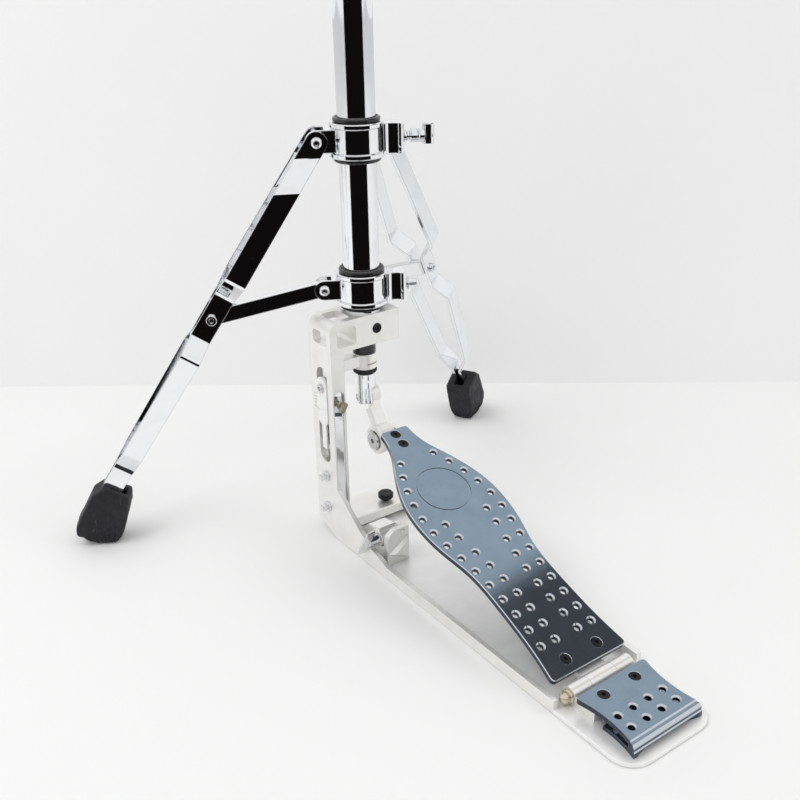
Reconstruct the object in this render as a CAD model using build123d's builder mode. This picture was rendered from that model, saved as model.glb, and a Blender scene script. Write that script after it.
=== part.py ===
from build123d import *
import math
import os

os.makedirs("parts", exist_ok=True)

# A two-legged hi-hat stand with a direct-drive pedal, in millimetres.
# Origin: on the floor, under the axis of the main tube.
# +X is the player's right, +Y points away from the player (the heel is at -Y), +Z is up.

# ---- driving dimensions ----
# main tube and the casting it stands in
TUBE_R = 31.75 / 2
TUBE_WALL = 1.6
TUBE_BOTTOM = 206.5
TUBE_TOP = 560.0
ARM_TOP = 215.3
ARM_BOTTOM = 187.2
ARM_RIGHT = 26.0
FRAME_LEFT = -46.0
POST_RIGHT = -32.9
FRAME_HALF_DEPTH = 17.3
RAIL_WALL = 4.4
RAIL_HEIGHT = 11.0
RAIL_END_Y = -304.0
PLATE_TOP = 3.5
PLATE_BOTTOM = 0.0

# inside the post: spring channel and its cover, and the slot of the tension slider
GUIDE_SLEEVE_R = 9.0
SPRING_X = -39.4
SPRING_FLOOR = 70.0
SPRING_SEAT_TOP = 95.0
SPRING_TOP = 159.0
COVER_TOP = 151.0
COVER_BOTTOM = 24.5
LOCK_Z = 138.5
SLOT_WIDTH = 17.0
SLOT_Z = (77.0, 171.0)
SLIDER_WIDTH = 16.2
SLIDER_LENGTH = 47.0
SLIDER_Z = 138.0
SLIDER_SCREW_Z = 151.0
GAUGE_MARKS = (142.0, 138.8, 135.6, 132.4)
GAUGE_POINTER = 129.2

# footboard: a flat board rising from the heel to the toe
BOARD_HEEL_Y = -295.6
BOARD_HEEL_Z = 18.8
BOARD_ANGLE = 20.44
BOARD_LENGTH = 269.8
BOARD_THICKNESS = 4.5
HINGE_Y = -304.5
HINGE_Z = 9.3
KNUCKLE_R = 7.4
KNUCKLE_GAP = 13.2
# half widths of the board, from the heel edge to the toe edge: (half width, distance)
BOARD_SIDE = [
    (38.7, 0), (34.7, 31.5), (33.1, 70), (35.2, 111), (41.6, 137), (44.7, 163), (42.8, 187),
    (36.0, 209), (26.8, 228.5), (19.2, 243.5), (15.4, 257), (14.6, BOARD_LENGTH),
]
# the outer row of holes runs a little inside the edge; the inner row follows it further in
HOLE_ROW = [
    (26.5, 28.8), (25.2, 61), (26.8, 93.3), (31.4, 124.6), (36.9, 160), (36.4, 175), (30.5, 202.4),
    (17.8, 231.2),
]
OUTER_HOLES = 14
INNER_HOLES = 9
INNER_ROW_STEP = 14.7
INNER_STAGGER = 3.1  # the last two holes of the inner row stand this much nearer the toe
STAGGERED_FROM = 7
RING_CENTRE = 191.5
RING_R = 24.4
TOE_SCREW_X = -1.5
TOE_SCREWS = (251.2, 263.6)
BOARD_HEEL_SCREW = 11.5
SCREW_SINK_R = 5.0  # mouth of the countersinks for the flat screws
SCREW_HEAD_R = 4.4
SCREW_LENGTH = 9.0
AXLE_R = 3.0

# heel rest
HEEL_END_Y = -379.0
HEEL_LIP_Y = -371.0
HEEL_HALF_WIDTH = 36.2
HEEL_WAIST = 31.5
HEEL_SCREW_X = 16.3
HEEL_SCREW_Y = -324.2
HEEL_BLOCK_Y = -322.0

# toe end: cross bar, spur and clamp
CROSS_BAR_TOP = 17.0
SPUR_X = 15.0
SPUR_Y = -6.0
SPUR_R = 3.0
BAR_SCREWS = (-24.0, 32.0)
CLAMP_X = -27.0
CLAMP_Y = -70.0
CLAMP_Z = 27.0
CLAMP_HUB_R = 7.4

# drive: a link between the footboard's toe hub and the pull rod
LINK_TOP_Z = 131.5
LINK_EYE_R = 4.9
LINK_PIN_R = 3.0
HUB_Y = -24.0
HUB_Z = 96.5
HUB_AXLE_R = 5.0
HUB_BEARING_R = 9.5
EAR_FACE = 0.8  # x of the coupling's face beside the link's eye
COUPLING_TOP = 155.4
CARRIAGE_BOTTOM = 160.0
CARRIAGE_TOP = 174.6
ROD_R = 4.0
PULL_ROD_R = 3.1
ROD_SOCKET_Z = 320.0

# legs: two straps each, spread from an upper collar and braced from a lower one
LEG_SPREAD = 61.0  # degrees either side of +Y
UPPER_COLLAR_Z = 363.4
LOWER_COLLAR_Z = 236.3
COLLAR_HEIGHT = 28.6
COLLAR_R = 21.3
COLLAR_RIM_R = 22.8
LEG_PIVOT_R = 33.9
BRACE_PIVOT_R = 33.2
LEG_ANGLE = 33.48  # degrees from vertical
LEG_TO_BRACE = 177.45  # along the leg, from its pivot to the brace's
BRACE_LENGTH = 100.77
BRACE_HALF_WIDTH = 4.9
STRAP_WIDTH = 18.0
STRAP_THICKNESS = 3.0
STRAP_BEND_R = 6.0
EAR_GAP = 11.4  # half the gap between a leg's straps at the upper collar
UPPER_EAR_GAP = 8.0
LOWER_EAR_GAP = 5.2
EAR_THICKNESS = 3.0
PINCH_GAP = 5.2
# a strap's inner face: (distance down the leg, distance from the leg's middle plane)
STRAP_COURSE = [
    (-9.0, EAR_GAP), (14.0, EAR_GAP), (135.0, 20.5), (153.0, PINCH_GAP), (198.0, PINCH_GAP),
    (214.0, 19.0), (326.0, 13.0), (349.0, 2.2), (394.0, 2.2),
]
LUG_AZIMUTH = -25.0
LUG_END = 38.5
LUG_WIDTH = 23.0
LUG_SCOOP_R = 9.0
BUSH_R = 18.1
BUSH_FLANGE_R = 19.8
BUSH_FLANGE = 3.6

# upper section, above the tube
CLAMP_TOP = 600.0
UPPER_TUBE_R = 11.1
UPPER_TUBE_TOP = 742.0
SEAT_PIVOT_Z = UPPER_TUBE_TOP + 11.0
CLUTCH_BOTTOM = 870.0
ROD_TOP = 1000.0

# running clearance, radial
FIT = 0.06
PIVOT_R = 3.0


# ---- helpers ----
def save(piece, name):
    """Label a finished piece and write it as its own STEP file."""
    piece.part.label = name
    export_step(piece.part, f"parts/{name}.step")


def turned(profile, base=Plane.XY):
    """A turned solid from (radius, height) points about the normal of a base plane."""
    section = Plane(origin=base.origin, x_dir=base.x_dir, z_dir=-base.y_dir)
    with BuildPart() as solid:
        with BuildSketch(section):
            with BuildLine():
                Polyline(*profile, close=True)
            make_face()
        revolve(axis=Axis(base.origin, base.z_dir))
    return solid


def sleeve(bottom, top, outer, inner=0.0, edge=0.0):
    """(radius, height) points of a ring or disc, with its outer edges bevelled by edge."""
    return [
        (inner, bottom),
        (outer - edge, bottom),
        (outer, bottom + edge),
        (outer, top - edge),
        (outer - edge, top),
        (inner, top),
    ]


def turned_ring(bottom, top, outer, inner=0.0, edge=0.3, base=Plane.XY):
    """A plain turned ring, or a disc where inner is 0."""
    points = sleeve(bottom, top, outer, inner, edge) if edge else [
        (inner, bottom),
        (outer, bottom),
        (outer, top),
        (inner, top),
    ]
    return turned(points, base)


def group(*pieces):
    """Several separate solids as one piece."""
    with BuildPart() as together:
        add([piece.part for piece in pieces])
    return together


def mirrored(piece):
    """The same piece on the other side of the stand."""
    with BuildPart() as other:
        mirror(piece.part, about=Plane.YZ)
    return other


def socket_screw(seat, shank_r, shank_length, head_r, head_height):
    """A socket screw whose head stands on the plane seat, with its shank below it."""
    socket_depth = head_height * 0.6
    with BuildPart() as screw:
        with BuildSketch(seat):
            Circle(head_r)
        extrude(amount=head_height)
        chamfer(screw.faces().sort_by(Axis(seat.origin, seat.z_dir))[-1].edges(), head_r * 0.12)
        with BuildSketch(seat):
            Circle(shank_r)
        extrude(amount=-shank_length)
        with BuildSketch(seat.offset(head_height)):
            RegularPolygon(head_r * 0.5, 6)
        extrude(amount=-socket_depth, mode=Mode.SUBTRACT)
    return screw


def flat_screw(face, shank_r, length, head_r):
    """A countersunk socket screw that is flush with the plane face."""
    sink = head_r - shank_r
    screw = turned(
        [(0, 0), (head_r, 0), (head_r, -0.5), (shank_r, -0.5 - sink), (shank_r, -length), (0, -length)],
        face,
    )
    with BuildPart() as finished:
        add(screw.part)
        with BuildSketch(face):
            RegularPolygon(head_r * 0.45, 6)
        extrude(amount=-1.6, mode=Mode.SUBTRACT)
    return finished


def wing_screw(seat, shank_r, shank_length, boss_r, boss_height, span, wing_height, wing_start=3.0):
    """A wing screw: a boss on the plane seat with two flat wings, and a shank below it."""
    with BuildPart() as screw:
        with BuildSketch(seat):
            Circle(boss_r)
        extrude(amount=boss_height)
        with BuildSketch(seat.offset(wing_start)):
            SlotOverall(span, boss_r * 0.8)
        extrude(amount=wing_height, taper=8)
        with BuildSketch(seat):
            Circle(shank_r)
        extrude(amount=-shank_length)
    return screw


def across_x(x, y, z):
    """A plane facing +X at a point, for parts that turn about a crosswise axis."""
    return Plane(origin=(x, y, z), x_dir=(0, 1, 0), z_dir=(1, 0, 0))


# ---- planes of the inclined parts ----
leg_azimuth = math.radians(90 + LEG_SPREAD)
LEG_OUT = Vector(math.cos(leg_azimuth), math.sin(leg_azimuth), 0)
UP = Vector(0, 0, 1)
LEG_SIDE = LEG_OUT.cross(UP)
LEG_FRONT = LEG_SIDE * -1
# the upright plane of the left leg: local x runs outwards, local y runs up
LEG_PLANE = Plane(origin=(0, 0, 0), x_dir=LEG_OUT, z_dir=LEG_SIDE)
leg_lean = math.radians(LEG_ANGLE)
LEG_ALONG = LEG_OUT * math.sin(leg_lean) - UP * math.cos(leg_lean)
LEG_ACROSS = LEG_OUT * math.cos(leg_lean) + UP * math.sin(leg_lean)
LEG_PIVOT = LEG_OUT * LEG_PIVOT_R + UP * UPPER_COLLAR_Z
BRACE_PIVOT = LEG_OUT * BRACE_PIVOT_R + UP * LOWER_COLLAR_Z
# the plane that holds a strap's bent outline: local x runs down the leg, local y sideways
STRAP_PLANE = Plane(origin=LEG_PIVOT, x_dir=LEG_ALONG, z_dir=LEG_ACROSS)
BRACE_JOINT = LEG_PIVOT + LEG_ALONG * LEG_TO_BRACE


def heel_plane(x, y):
    """A plane on the heel plate's sloping top at (x, y), facing up out of it."""
    slope = math.atan2(17.4 - 14.8, -315.0 - (HEEL_LIP_Y + 5.4))
    z = 17.4 + (y + 315.0) * math.tan(slope)
    return Plane(origin=(x, y, z), x_dir=(1, 0, 0), z_dir=(0, -math.sin(slope), math.cos(slope)))


board_lean = math.radians(BOARD_ANGLE)
# the footboard's top face: local x runs across, local y runs from the heel edge to the toe
BOARD_PLANE = Plane(
    origin=(0, BOARD_HEEL_Y, BOARD_HEEL_Z),
    x_dir=(1, 0, 0),
    z_dir=(0, -math.sin(board_lean), math.cos(board_lean)),
)


# ---- main frame ----
def build_frame():
    """The machined frame: an upright post with an arm over the pedal and a low side rail."""
    corner_r = 10.0
    with BuildPart() as frame:
        with BuildSketch(Plane.XZ.offset(-FRAME_HALF_DEPTH)):
            with BuildLine():
                Polyline(
                    (FRAME_LEFT, PLATE_TOP + 6),
                    (FRAME_LEFT, ARM_TOP),
                    (ARM_RIGHT, ARM_TOP),
                    (ARM_RIGHT, ARM_BOTTOM),
                    (POST_RIGHT, ARM_BOTTOM),
                    (POST_RIGHT, PLATE_TOP + 6),
                    close=True,
                )
            make_face()
        extrude(amount=2 * FRAME_HALF_DEPTH)
        upright = frame.edges().filter_by(Axis.Y)
        fillet(upright.filter_by_position(Axis.X, FRAME_LEFT, FRAME_LEFT).sort_by(Axis.Z)[-1], corner_r)
        inner = upright.filter_by_position(Axis.X, POST_RIGHT, POST_RIGHT).sort_by(Axis.Z)[-1]
        fillet(inner, 8.0)
        # side rail and gusset, one with the post
        with BuildSketch(Plane.YZ.offset(FRAME_LEFT)):
            with BuildLine():
                Polyline(
                    (FRAME_HALF_DEPTH, RAIL_HEIGHT),
                    (-11.0, 0.0),
                    (RAIL_END_Y, 0.0),
                    (RAIL_END_Y, RAIL_HEIGHT),
                    (-95.0, RAIL_HEIGHT),
                    (-69.0, 18.8),
                    (-52.8, 27.5),
                    (-FRAME_HALF_DEPTH, 54.0),
                    (FRAME_HALF_DEPTH, 54.0),
                    close=True,
                )
            make_face()
        extrude(amount=RAIL_WALL)
        # windows in the arm: front to back, top, and left corner
        with BuildSketch(Plane.XZ.offset(FRAME_HALF_DEPTH)):
            with Locations((-29.0, 200.5)):
                RectangleRounded(19.5, 17.5, 3.5)
        extrude(amount=-2 * FRAME_HALF_DEPTH, mode=Mode.SUBTRACT)
        with BuildSketch(Plane.XY.offset(ARM_TOP)):
            with Locations((-29.0, 0)):
                RectangleRounded(17.0, 22.0, 4.0)
        extrude(amount=-10.0, mode=Mode.SUBTRACT)
        with BuildSketch(Plane.YZ.offset(FRAME_LEFT)):
            with Locations((0, 199.0)):
                RectangleRounded(22.0, 12.0, 3.5)
        extrude(amount=10.0, mode=Mode.SUBTRACT)
        # bore for the tube, and the smaller bore for the rod's guide bush
        with Locations((0, 0, ARM_TOP)):
            CounterBoreHole(GUIDE_SLEEVE_R + 0.05, TUBE_R + 0.05, ARM_TOP - TUBE_BOTTOM, 40)
        # spring channel: a deep round-ended slot milled from the front, with a seat for its cover
        with BuildSketch(Plane.XZ.offset(FRAME_HALF_DEPTH)):
            with Locations((SPRING_X, (COVER_TOP + COVER_BOTTOM) / 2)):
                SlotOverall(COVER_TOP - COVER_BOTTOM, 10.6, rotation=90)
        extrude(amount=-4.0, mode=Mode.SUBTRACT)
        with BuildSketch(Plane.XY.offset(SPRING_FLOOR)):
            with Locations((SPRING_X, 0)):
                Circle(5.2)
        extrude(amount=ARM_BOTTOM - SPRING_FLOOR - 6, mode=Mode.SUBTRACT)
        # long slot in the left face, for the tension slider
        with BuildSketch(Plane.YZ.offset(FRAME_LEFT)):
            with Locations((0, (SLOT_Z[0] + SLOT_Z[1]) / 2)):
                SlotOverall(SLOT_Z[1] - SLOT_Z[0], SLOT_WIDTH, rotation=90)
        extrude(amount=6.0, mode=Mode.SUBTRACT)
        # gauge marks beside the slot
        with BuildSketch(Plane.YZ.offset(FRAME_LEFT)):
            with Locations(*[(SLOT_WIDTH / 2 + 3.8, z) for z in GAUGE_MARKS]):
                Rectangle(3.6, 0.9)
            with Locations((SLOT_WIDTH / 2 + 3.3, GAUGE_POINTER)):
                Rectangle(5.0, 1.0)
        extrude(amount=0.7, mode=Mode.SUBTRACT)
        # slot in the right face, for the carriage
        with BuildSketch(Plane.YZ.offset(POST_RIGHT)):
            with Locations((0, 149.0)):
                Rectangle(6.6, 70.0)
        extrude(amount=-6.0, mode=Mode.SUBTRACT)
        # holes: key screws, tube clamp screw, slider's lock screw
        with Locations(across_x(FRAME_LEFT, 0, 29.2), across_x(FRAME_LEFT, 0, 62.0)):
            Cylinder(2.55, 16, mode=Mode.SUBTRACT)
        with Locations(Plane(origin=(2.8, -FRAME_HALF_DEPTH, 201.5), z_dir=(0, -1, 0))):
            Cylinder(4.65, 2.4, mode=Mode.SUBTRACT)
            Cylinder(2.55, 2 * 6.9, mode=Mode.SUBTRACT)
        with Locations(Plane(origin=(SPRING_X, -FRAME_HALF_DEPTH, LOCK_Z), z_dir=(0, -1, 0))):
            Cylinder(2.05, 40, mode=Mode.SUBTRACT)
    return frame


def build_right_rail():
    """The low rail on the right, screwed to the end of the cross bar."""
    with BuildPart() as rail:
        with BuildSketch(Plane.YZ.offset(-FRAME_LEFT - RAIL_WALL)):
            with BuildLine():
                Polyline(
                    (19.0, RAIL_HEIGHT + 6),
                    (19.0, 8.0),
                    (-11.0, 0.0),
                    (RAIL_END_Y, 0.0),
                    (RAIL_END_Y, RAIL_HEIGHT),
                    (-40.0, RAIL_HEIGHT),
                    (-18.0, RAIL_HEIGHT + 6),
                    close=True,
                )
            make_face()
        extrude(amount=RAIL_WALL)
    return rail


def build_cross_bar():
    """The bar across the toe end, standing on the base plate, with a tapped hole for the spur."""
    with BuildPart() as bar:
        with BuildSketch(Plane.YZ.offset(POST_RIGHT)):
            with BuildLine():
                Polyline(
                    (-18, CROSS_BAR_TOP),
                    (19, CROSS_BAR_TOP),
                    (19, PLATE_TOP + 1),
                    (8, PLATE_TOP),
                    (-8, PLATE_TOP),
                    (-8, 8),
                    (-18, 8),
                    close=True,
                )
            make_face()
        extrude(amount=-FRAME_LEFT - RAIL_WALL - POST_RIGHT)
        chamfer(bar.faces().sort_by(Axis.Z)[-1].edges().filter_by(Axis.X), 1.0)
        with Locations((SPUR_X, SPUR_Y, 0)):
            Cylinder(SPUR_R + FIT, 60, mode=Mode.SUBTRACT)
        with Locations(*[(x, 0, PLATE_TOP) for x in BAR_SCREWS]):
            Cylinder(2.1, 14, mode=Mode.SUBTRACT)
    return bar


def build_base_plate():
    """The thin plate that joins the rails and carries the heel."""
    between_rails = 2 * (-FRAME_LEFT - RAIL_WALL)
    heel_length = RAIL_END_Y - HEEL_END_Y
    with BuildPart() as plate:
        with BuildSketch(Plane.XY.offset(PLATE_BOTTOM)):
            with Locations((0, (8 + RAIL_END_Y) / 2)):
                Rectangle(between_rails, 8 - RAIL_END_Y)
            with Locations((0, RAIL_END_Y - heel_length / 2)):
                Rectangle(-2 * FRAME_LEFT, heel_length)
        extrude(amount=PLATE_TOP - PLATE_BOTTOM)
        fillet(plate.edges().filter_by(Axis.Z).group_by(Axis.Y)[0], 20.0)
        chamfer(plate.faces().sort_by(Axis.Z)[-1].edges().group_by(Axis.Y)[0], 0.6)
        with Locations(*[from_below(x, y) for x, y in plate_screw_places()]):
            CounterSinkHole(2.1, SCREW_SINK_R, 8.0, 90)
        with Locations((SPUR_X, SPUR_Y, 0)):
            Cylinder(SPUR_R + 0.6, 20, mode=Mode.SUBTRACT)
        # shallow pocket under the footboard's knuckle
        with BuildSketch(Plane.XY.offset(PLATE_TOP)):
            with Locations((0, HINGE_Y)):
                Rectangle(2 * KNUCKLE_GAP, 1.6 * KNUCKLE_R)
        extrude(amount=-2.2, mode=Mode.SUBTRACT)
    return plate


def from_below(x, y):
    """A plane on the base plate's underside, facing down."""
    return Plane(origin=(x, y, PLATE_BOTTOM), x_dir=(1, 0, 0), z_dir=(0, 0, -1))


def plate_screw_places():
    """Where screws come up through the base plate: heel block, clamp block and cross bar."""
    heel = [(-22, HEEL_BLOCK_Y), (22, HEEL_BLOCK_Y)]
    clamp = [(CLAMP_X, CLAMP_Y - 7), (CLAMP_X, CLAMP_Y + 9)]
    bar = [(x, 0) for x in BAR_SCREWS]
    return heel + clamp + bar


def build_heel_block():
    """The fixed half of the heel hinge: two outer knuckles on a low block."""
    with BuildPart() as block:
        with BuildSketch(Plane.XY.offset(PLATE_TOP)):
            with Locations((0, -317.0)):
                Rectangle(62, 26)
        extrude(amount=8.6)
        with BuildSketch(across_x(-31, HINGE_Y, HINGE_Z)):
            Circle(KNUCKLE_R)
        extrude(amount=62)
        with BuildSketch(Plane.XY.offset(PLATE_TOP)):
            with Locations((0, HINGE_Y)):
                Rectangle(80, 40)
        extrude(amount=-10, mode=Mode.SUBTRACT)
        # gap for the footboard's knuckle
        with BuildSketch(Plane.XY.offset(PLATE_TOP)):
            with Locations((0, HINGE_Y)):
                Rectangle(2 * KNUCKLE_GAP, 2 * KNUCKLE_R + 2.4)
        extrude(amount=20, mode=Mode.SUBTRACT)
        with Locations(across_x(0, HINGE_Y, HINGE_Z)):
            Cylinder(AXLE_R + FIT, 80, mode=Mode.SUBTRACT)
        with Locations(*[heel_plane(x, HEEL_SCREW_Y) for x in (-HEEL_SCREW_X, HEEL_SCREW_X)]):
            Cylinder(2.1, 24, mode=Mode.SUBTRACT)
        for x in (-22, 22):
            with Locations((x, HEEL_BLOCK_Y, PLATE_TOP)):
                Cylinder(2.1, 14, mode=Mode.SUBTRACT)
    return block


def build_spur():
    """The spur: a pointed screw through the cross bar with a round knob on top."""
    return turned([
        (0, 1.0), (0.6, 1.0), (SPUR_R, 6.0), (SPUR_R, CROSS_BAR_TOP + 3), (6.6, CROSS_BAR_TOP + 3),
        (7.4, CROSS_BAR_TOP + 4), (7.4, CROSS_BAR_TOP + 7.5), (6.4, CROSS_BAR_TOP + 8.5),
        (0, CROSS_BAR_TOP + 8.5),
    ], Plane(origin=(SPUR_X, SPUR_Y, 0)))


def build_clamp_base():
    """The block that carries the toe clamp's rocker: a rounded front wall with a rib, and one cheek."""
    left = CLAMP_X - 10.5
    right = -14.0
    wall_front = CLAMP_Y - 13.5
    wall_top = CLAMP_Z + 11.0
    with BuildPart() as block:
        with BuildSketch(Plane.XY.offset(PLATE_TOP)):
            with Locations((CLAMP_X, CLAMP_Y)):
                RectangleRounded(20, 26, 3)
        extrude(amount=7.0)
        # cheek beside the rocker
        with BuildSketch(across_x(-18.5, CLAMP_Y, CLAMP_Z)):
            Circle(CLAMP_HUB_R + 1)
        extrude(amount=18.5 + right)
        with BuildSketch(Plane.YZ.offset(-18.5)):
            with BuildLine():
                Polyline(
                    (wall_front + 1, PLATE_TOP),
                    (CLAMP_Y + 13, PLATE_TOP),
                    (CLAMP_Y + CLAMP_HUB_R + 0.8, CLAMP_Z + 2.5),
                    (wall_front + 1, CLAMP_Z + 6.0),
                    close=True,
                )
            make_face()
        extrude(amount=18.5 + right)
        # front wall, with its upper left corner rounded
        with BuildSketch(Plane.XZ.offset(-wall_front)):
            with BuildLine():
                Line((left, PLATE_TOP), (left, wall_top - 12.0))
                RadiusArc((left, wall_top - 12.0), (left + 12.0, wall_top), 12.0)
                Polyline((left + 12.0, wall_top), (right, wall_top), (right, PLATE_TOP), (left, PLATE_TOP))
            make_face()
        extrude(amount=-5.5)
        # three-cornered rib and a small boss on the wall
        with BuildSketch(Plane.XZ.offset(-wall_front)):
            Polygon((left + 1.5, 15.0), (right - 0.3, 30.0), (right - 0.3, 4.0), align=None)
        extrude(amount=3.6, taper=38)
        with BuildSketch(Plane.XZ.offset(-wall_front)):
            with Locations((right - 5.6, wall_top - 4.8)):
                Circle(3.1)
        extrude(amount=1.6)
        fillet(block.edges().filter_by(GeomType.CIRCLE).group_by(Axis.Y)[0], 0.7)
        with Locations(across_x(-16, CLAMP_Y, CLAMP_Z)):
            Cylinder(SPUR_R + FIT, 20, mode=Mode.SUBTRACT)
        for y in (CLAMP_Y - 7, CLAMP_Y + 9):
            with Locations((CLAMP_X, y, PLATE_TOP)):
                Cylinder(2.1, 14, mode=Mode.SUBTRACT)
    return block


def build_clamp_rocker():
    """The rocking jaw: a round hub on the clamp screw with a hooked nose towards the toe end."""
    with BuildPart() as rocker:
        with BuildSketch(across_x(-38.0, CLAMP_Y, CLAMP_Z)):
            Circle(CLAMP_HUB_R)
        extrude(amount=19.2)
        with BuildSketch(Plane.YZ.offset(-37.0)):
            with BuildLine():
                Polyline(
                    (CLAMP_Y - 1, CLAMP_Z + 10.0),
                    (CLAMP_Y + 16, CLAMP_Z + 6.5),
                    (CLAMP_Y + 30, CLAMP_Z - 5.0),
                    (CLAMP_Y + 30, CLAMP_Z - 9.5),
                    (CLAMP_Y + 23, CLAMP_Z - 8.0),
                    (CLAMP_Y + 10, CLAMP_Z - 1.0),
                    (CLAMP_Y - 1, CLAMP_Z - 2.0),
                    close=True,
                )
            make_face()
        extrude(amount=17.2)
        with Locations(across_x(-28, CLAMP_Y, CLAMP_Z)):
            Cylinder(SPUR_R + FIT, 40, mode=Mode.SUBTRACT)
        fillet(rocker.edges().filter_by(Axis.X).group_by(Axis.Y)[-1], 1.5)
    return rocker


def build_clamp_screw():
    """The wing screw that locks the rocker, lying across the stand."""
    seat = Plane(origin=(-38.6, CLAMP_Y, CLAMP_Z), x_dir=(0, -0.5, 0.86), z_dir=(-1, 0, 0))
    return wing_screw(seat, SPUR_R, 25.6, 5.0, 10.0, 36.0, 7.0, wing_start=9.0)


def build_heel_plate():
    """The heel rest: a plate that rolls down at the heel end and turns back underneath."""
    lip_y = HEEL_LIP_Y
    top_front = 17.4
    top_back = 14.8
    with BuildPart() as plate:
        with BuildSketch(Plane.YZ.offset(-HEEL_HALF_WIDTH)):
            with BuildLine():
                Polyline(
                    (-315.0, top_front),
                    (lip_y + 5.4, top_back),
                    (lip_y + 4.4, top_back - 1.0),
                    (lip_y + 2.4, top_back - 1.0),
                    (lip_y, top_back - 4.0),
                    (lip_y + 0.4, 9.2),
                    (lip_y - 0.6, 8.0),
                    (lip_y - 0.6, PLATE_TOP),
                    (lip_y + 32, PLATE_TOP),
                    (lip_y + 32, PLATE_TOP + 3.2),
                    (lip_y + 8.0, PLATE_TOP + 3.4),
                    (lip_y + 6.0, PLATE_TOP + 5.4),
                    (lip_y + 7.0, top_back - 3.8),
                    (-315.0, top_front - 4.4),
                    close=True,
                )
            make_face()
        extrude(amount=2 * HEEL_HALF_WIDTH)
        roll = plate.edges().filter_by(Axis.X).filter_by_position(Axis.Z, 9.0, 20.0)
        fillet(roll.filter_by_position(Axis.Y, lip_y - 0.1, lip_y + 3.0), 1.1)
        # waisted sides
        with BuildSketch(Plane.XY):
            with BuildLine():
                for side in (-1, 1):
                    ThreePointArc(
                        (side * HEEL_HALF_WIDTH, lip_y - 3),
                        (side * HEEL_WAIST, -344.0),
                        (side * HEEL_HALF_WIDTH, -315.0),
                    )
                Line((-HEEL_HALF_WIDTH, lip_y - 3), (HEEL_HALF_WIDTH, lip_y - 3))
                Line((-HEEL_HALF_WIDTH, -315.0), (HEEL_HALF_WIDTH, -315.0))
            make_face()
        extrude(amount=30, mode=Mode.INTERSECT)
        # the lip's foot is hollowed in a long arc
        with BuildSketch(Plane.XY.offset(PLATE_TOP)):
            with BuildLine():
                ThreePointArc((-33.0, lip_y - 1), (0, lip_y + 4.2), (33.0, lip_y - 1))
                Line((-33.0, lip_y - 1), (33.0, lip_y - 1))
            make_face()
        extrude(amount=4.5, mode=Mode.SUBTRACT)
        fillet(plate.edges().filter_by(Axis.Z).group_by(Axis.Y)[-1], 2.5)
        with Locations(*[heel_plane(x, HEEL_SCREW_Y) for x in (-HEEL_SCREW_X, HEEL_SCREW_X)]):
            CounterSinkHole(2.1, SCREW_SINK_R, 12.0, 90)
        with Locations(*[heel_plane(x, y) for y in (-344.7, -357.4) for x in (-23.2, -7.8, 7.8, 23.2)]):
            CounterSinkHole(2.6, 3.8, 6.5, 90)
    return plate


def build_base_screws():
    """The flat screws of the base: six up through the base plate and two down through the heel plate."""
    faces = [from_below(x, y) for x, y in plate_screw_places()]
    faces += [heel_plane(x, HEEL_SCREW_Y) for x in (-HEEL_SCREW_X, HEEL_SCREW_X)]
    return group(*[flat_screw(face, 2.0, SCREW_LENGTH, SCREW_HEAD_R) for face in faces])


def build_hinge_axle():
    """The hinge bolt, with its domed and flanged head on the left, screwed into the right knuckle."""
    base = across_x(0, HINGE_Y, HINGE_Z)
    return turned([
        (0, -39.6), (2.2, -39.1), (3.8, -37.6), (4.5, -35.6), (4.2, -34.2), (3.6, -33.6), (5.2, -33.2),
        (5.7, -32.6), (5.7, -31.5), (5.3, -31.1), (AXLE_R, -31.1), (AXLE_R, 30.8), (0, 30.8),
    ], base)


# ---- footboard ----

def board_hole_places():
    """Centres of the grip holes on the board's top face."""
    row = Spline(*HOLE_ROW)
    pitch = row.length / (OUTER_HOLES - 1)
    outer = [row.position_at(i * pitch, PositionMode.LENGTH) for i in range(OUTER_HOLES)]
    places = []
    for side in (-1, 1):
        places += [(side * p.X, p.Y) for p in outer]
        for i in range(INNER_HOLES):
            stagger = INNER_STAGGER if i >= STAGGERED_FROM else 0.0
            p = row.position_at(i * pitch + stagger, PositionMode.LENGTH)
            places.append((side * (p.X - INNER_ROW_STEP), p.Y))
    return places


def build_footboard():
    """The footboard: a flat shaped plate with countersunk grip holes and a ring groove."""
    with BuildPart() as board:
        with BuildSketch(BOARD_PLANE):
            with BuildLine():
                right = Spline(*BOARD_SIDE)
                left = Spline(*[(-x, s) for x, s in BOARD_SIDE])
                Line(right @ 0, left @ 0)
                Line(right @ 1, left @ 1)
            make_face()
        extrude(amount=-BOARD_THICKNESS)
        corners = board.edges().filter_by(Axis(BOARD_PLANE.origin, BOARD_PLANE.z_dir))
        fillet(corners, 3.5)
        out_of_board = Axis(BOARD_PLANE.origin, BOARD_PLANE.z_dir)
        top = board.faces().filter_by(out_of_board).sort_by(out_of_board)[-1]
        chamfer(top.edges(), 0.6)
        with BuildSketch(BOARD_PLANE):
            with Locations((0, RING_CENTRE)):
                Circle(RING_R)
                Circle(RING_R - 1.1, mode=Mode.SUBTRACT)
        extrude(amount=-0.6, mode=Mode.SUBTRACT)
        with Locations(*[on_board(x, s) for x, s in board_hole_places()]):
            CounterSinkHole(2.6, 3.8, 8.0, 90)
        with Locations(*[on_board(x, s) for x, s in board_screw_places()]):
            CounterSinkHole(2.1, SCREW_SINK_R, 8.0, 90)
    return board


def board_screw_places():
    """Screws through the board: two at the toe, in line, and two at the heel."""
    toe = [(TOE_SCREW_X, s) for s in TOE_SCREWS]
    heel = [(-HEEL_SCREW_X, BOARD_HEEL_SCREW), (HEEL_SCREW_X, BOARD_HEEL_SCREW)]
    return toe + heel


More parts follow.
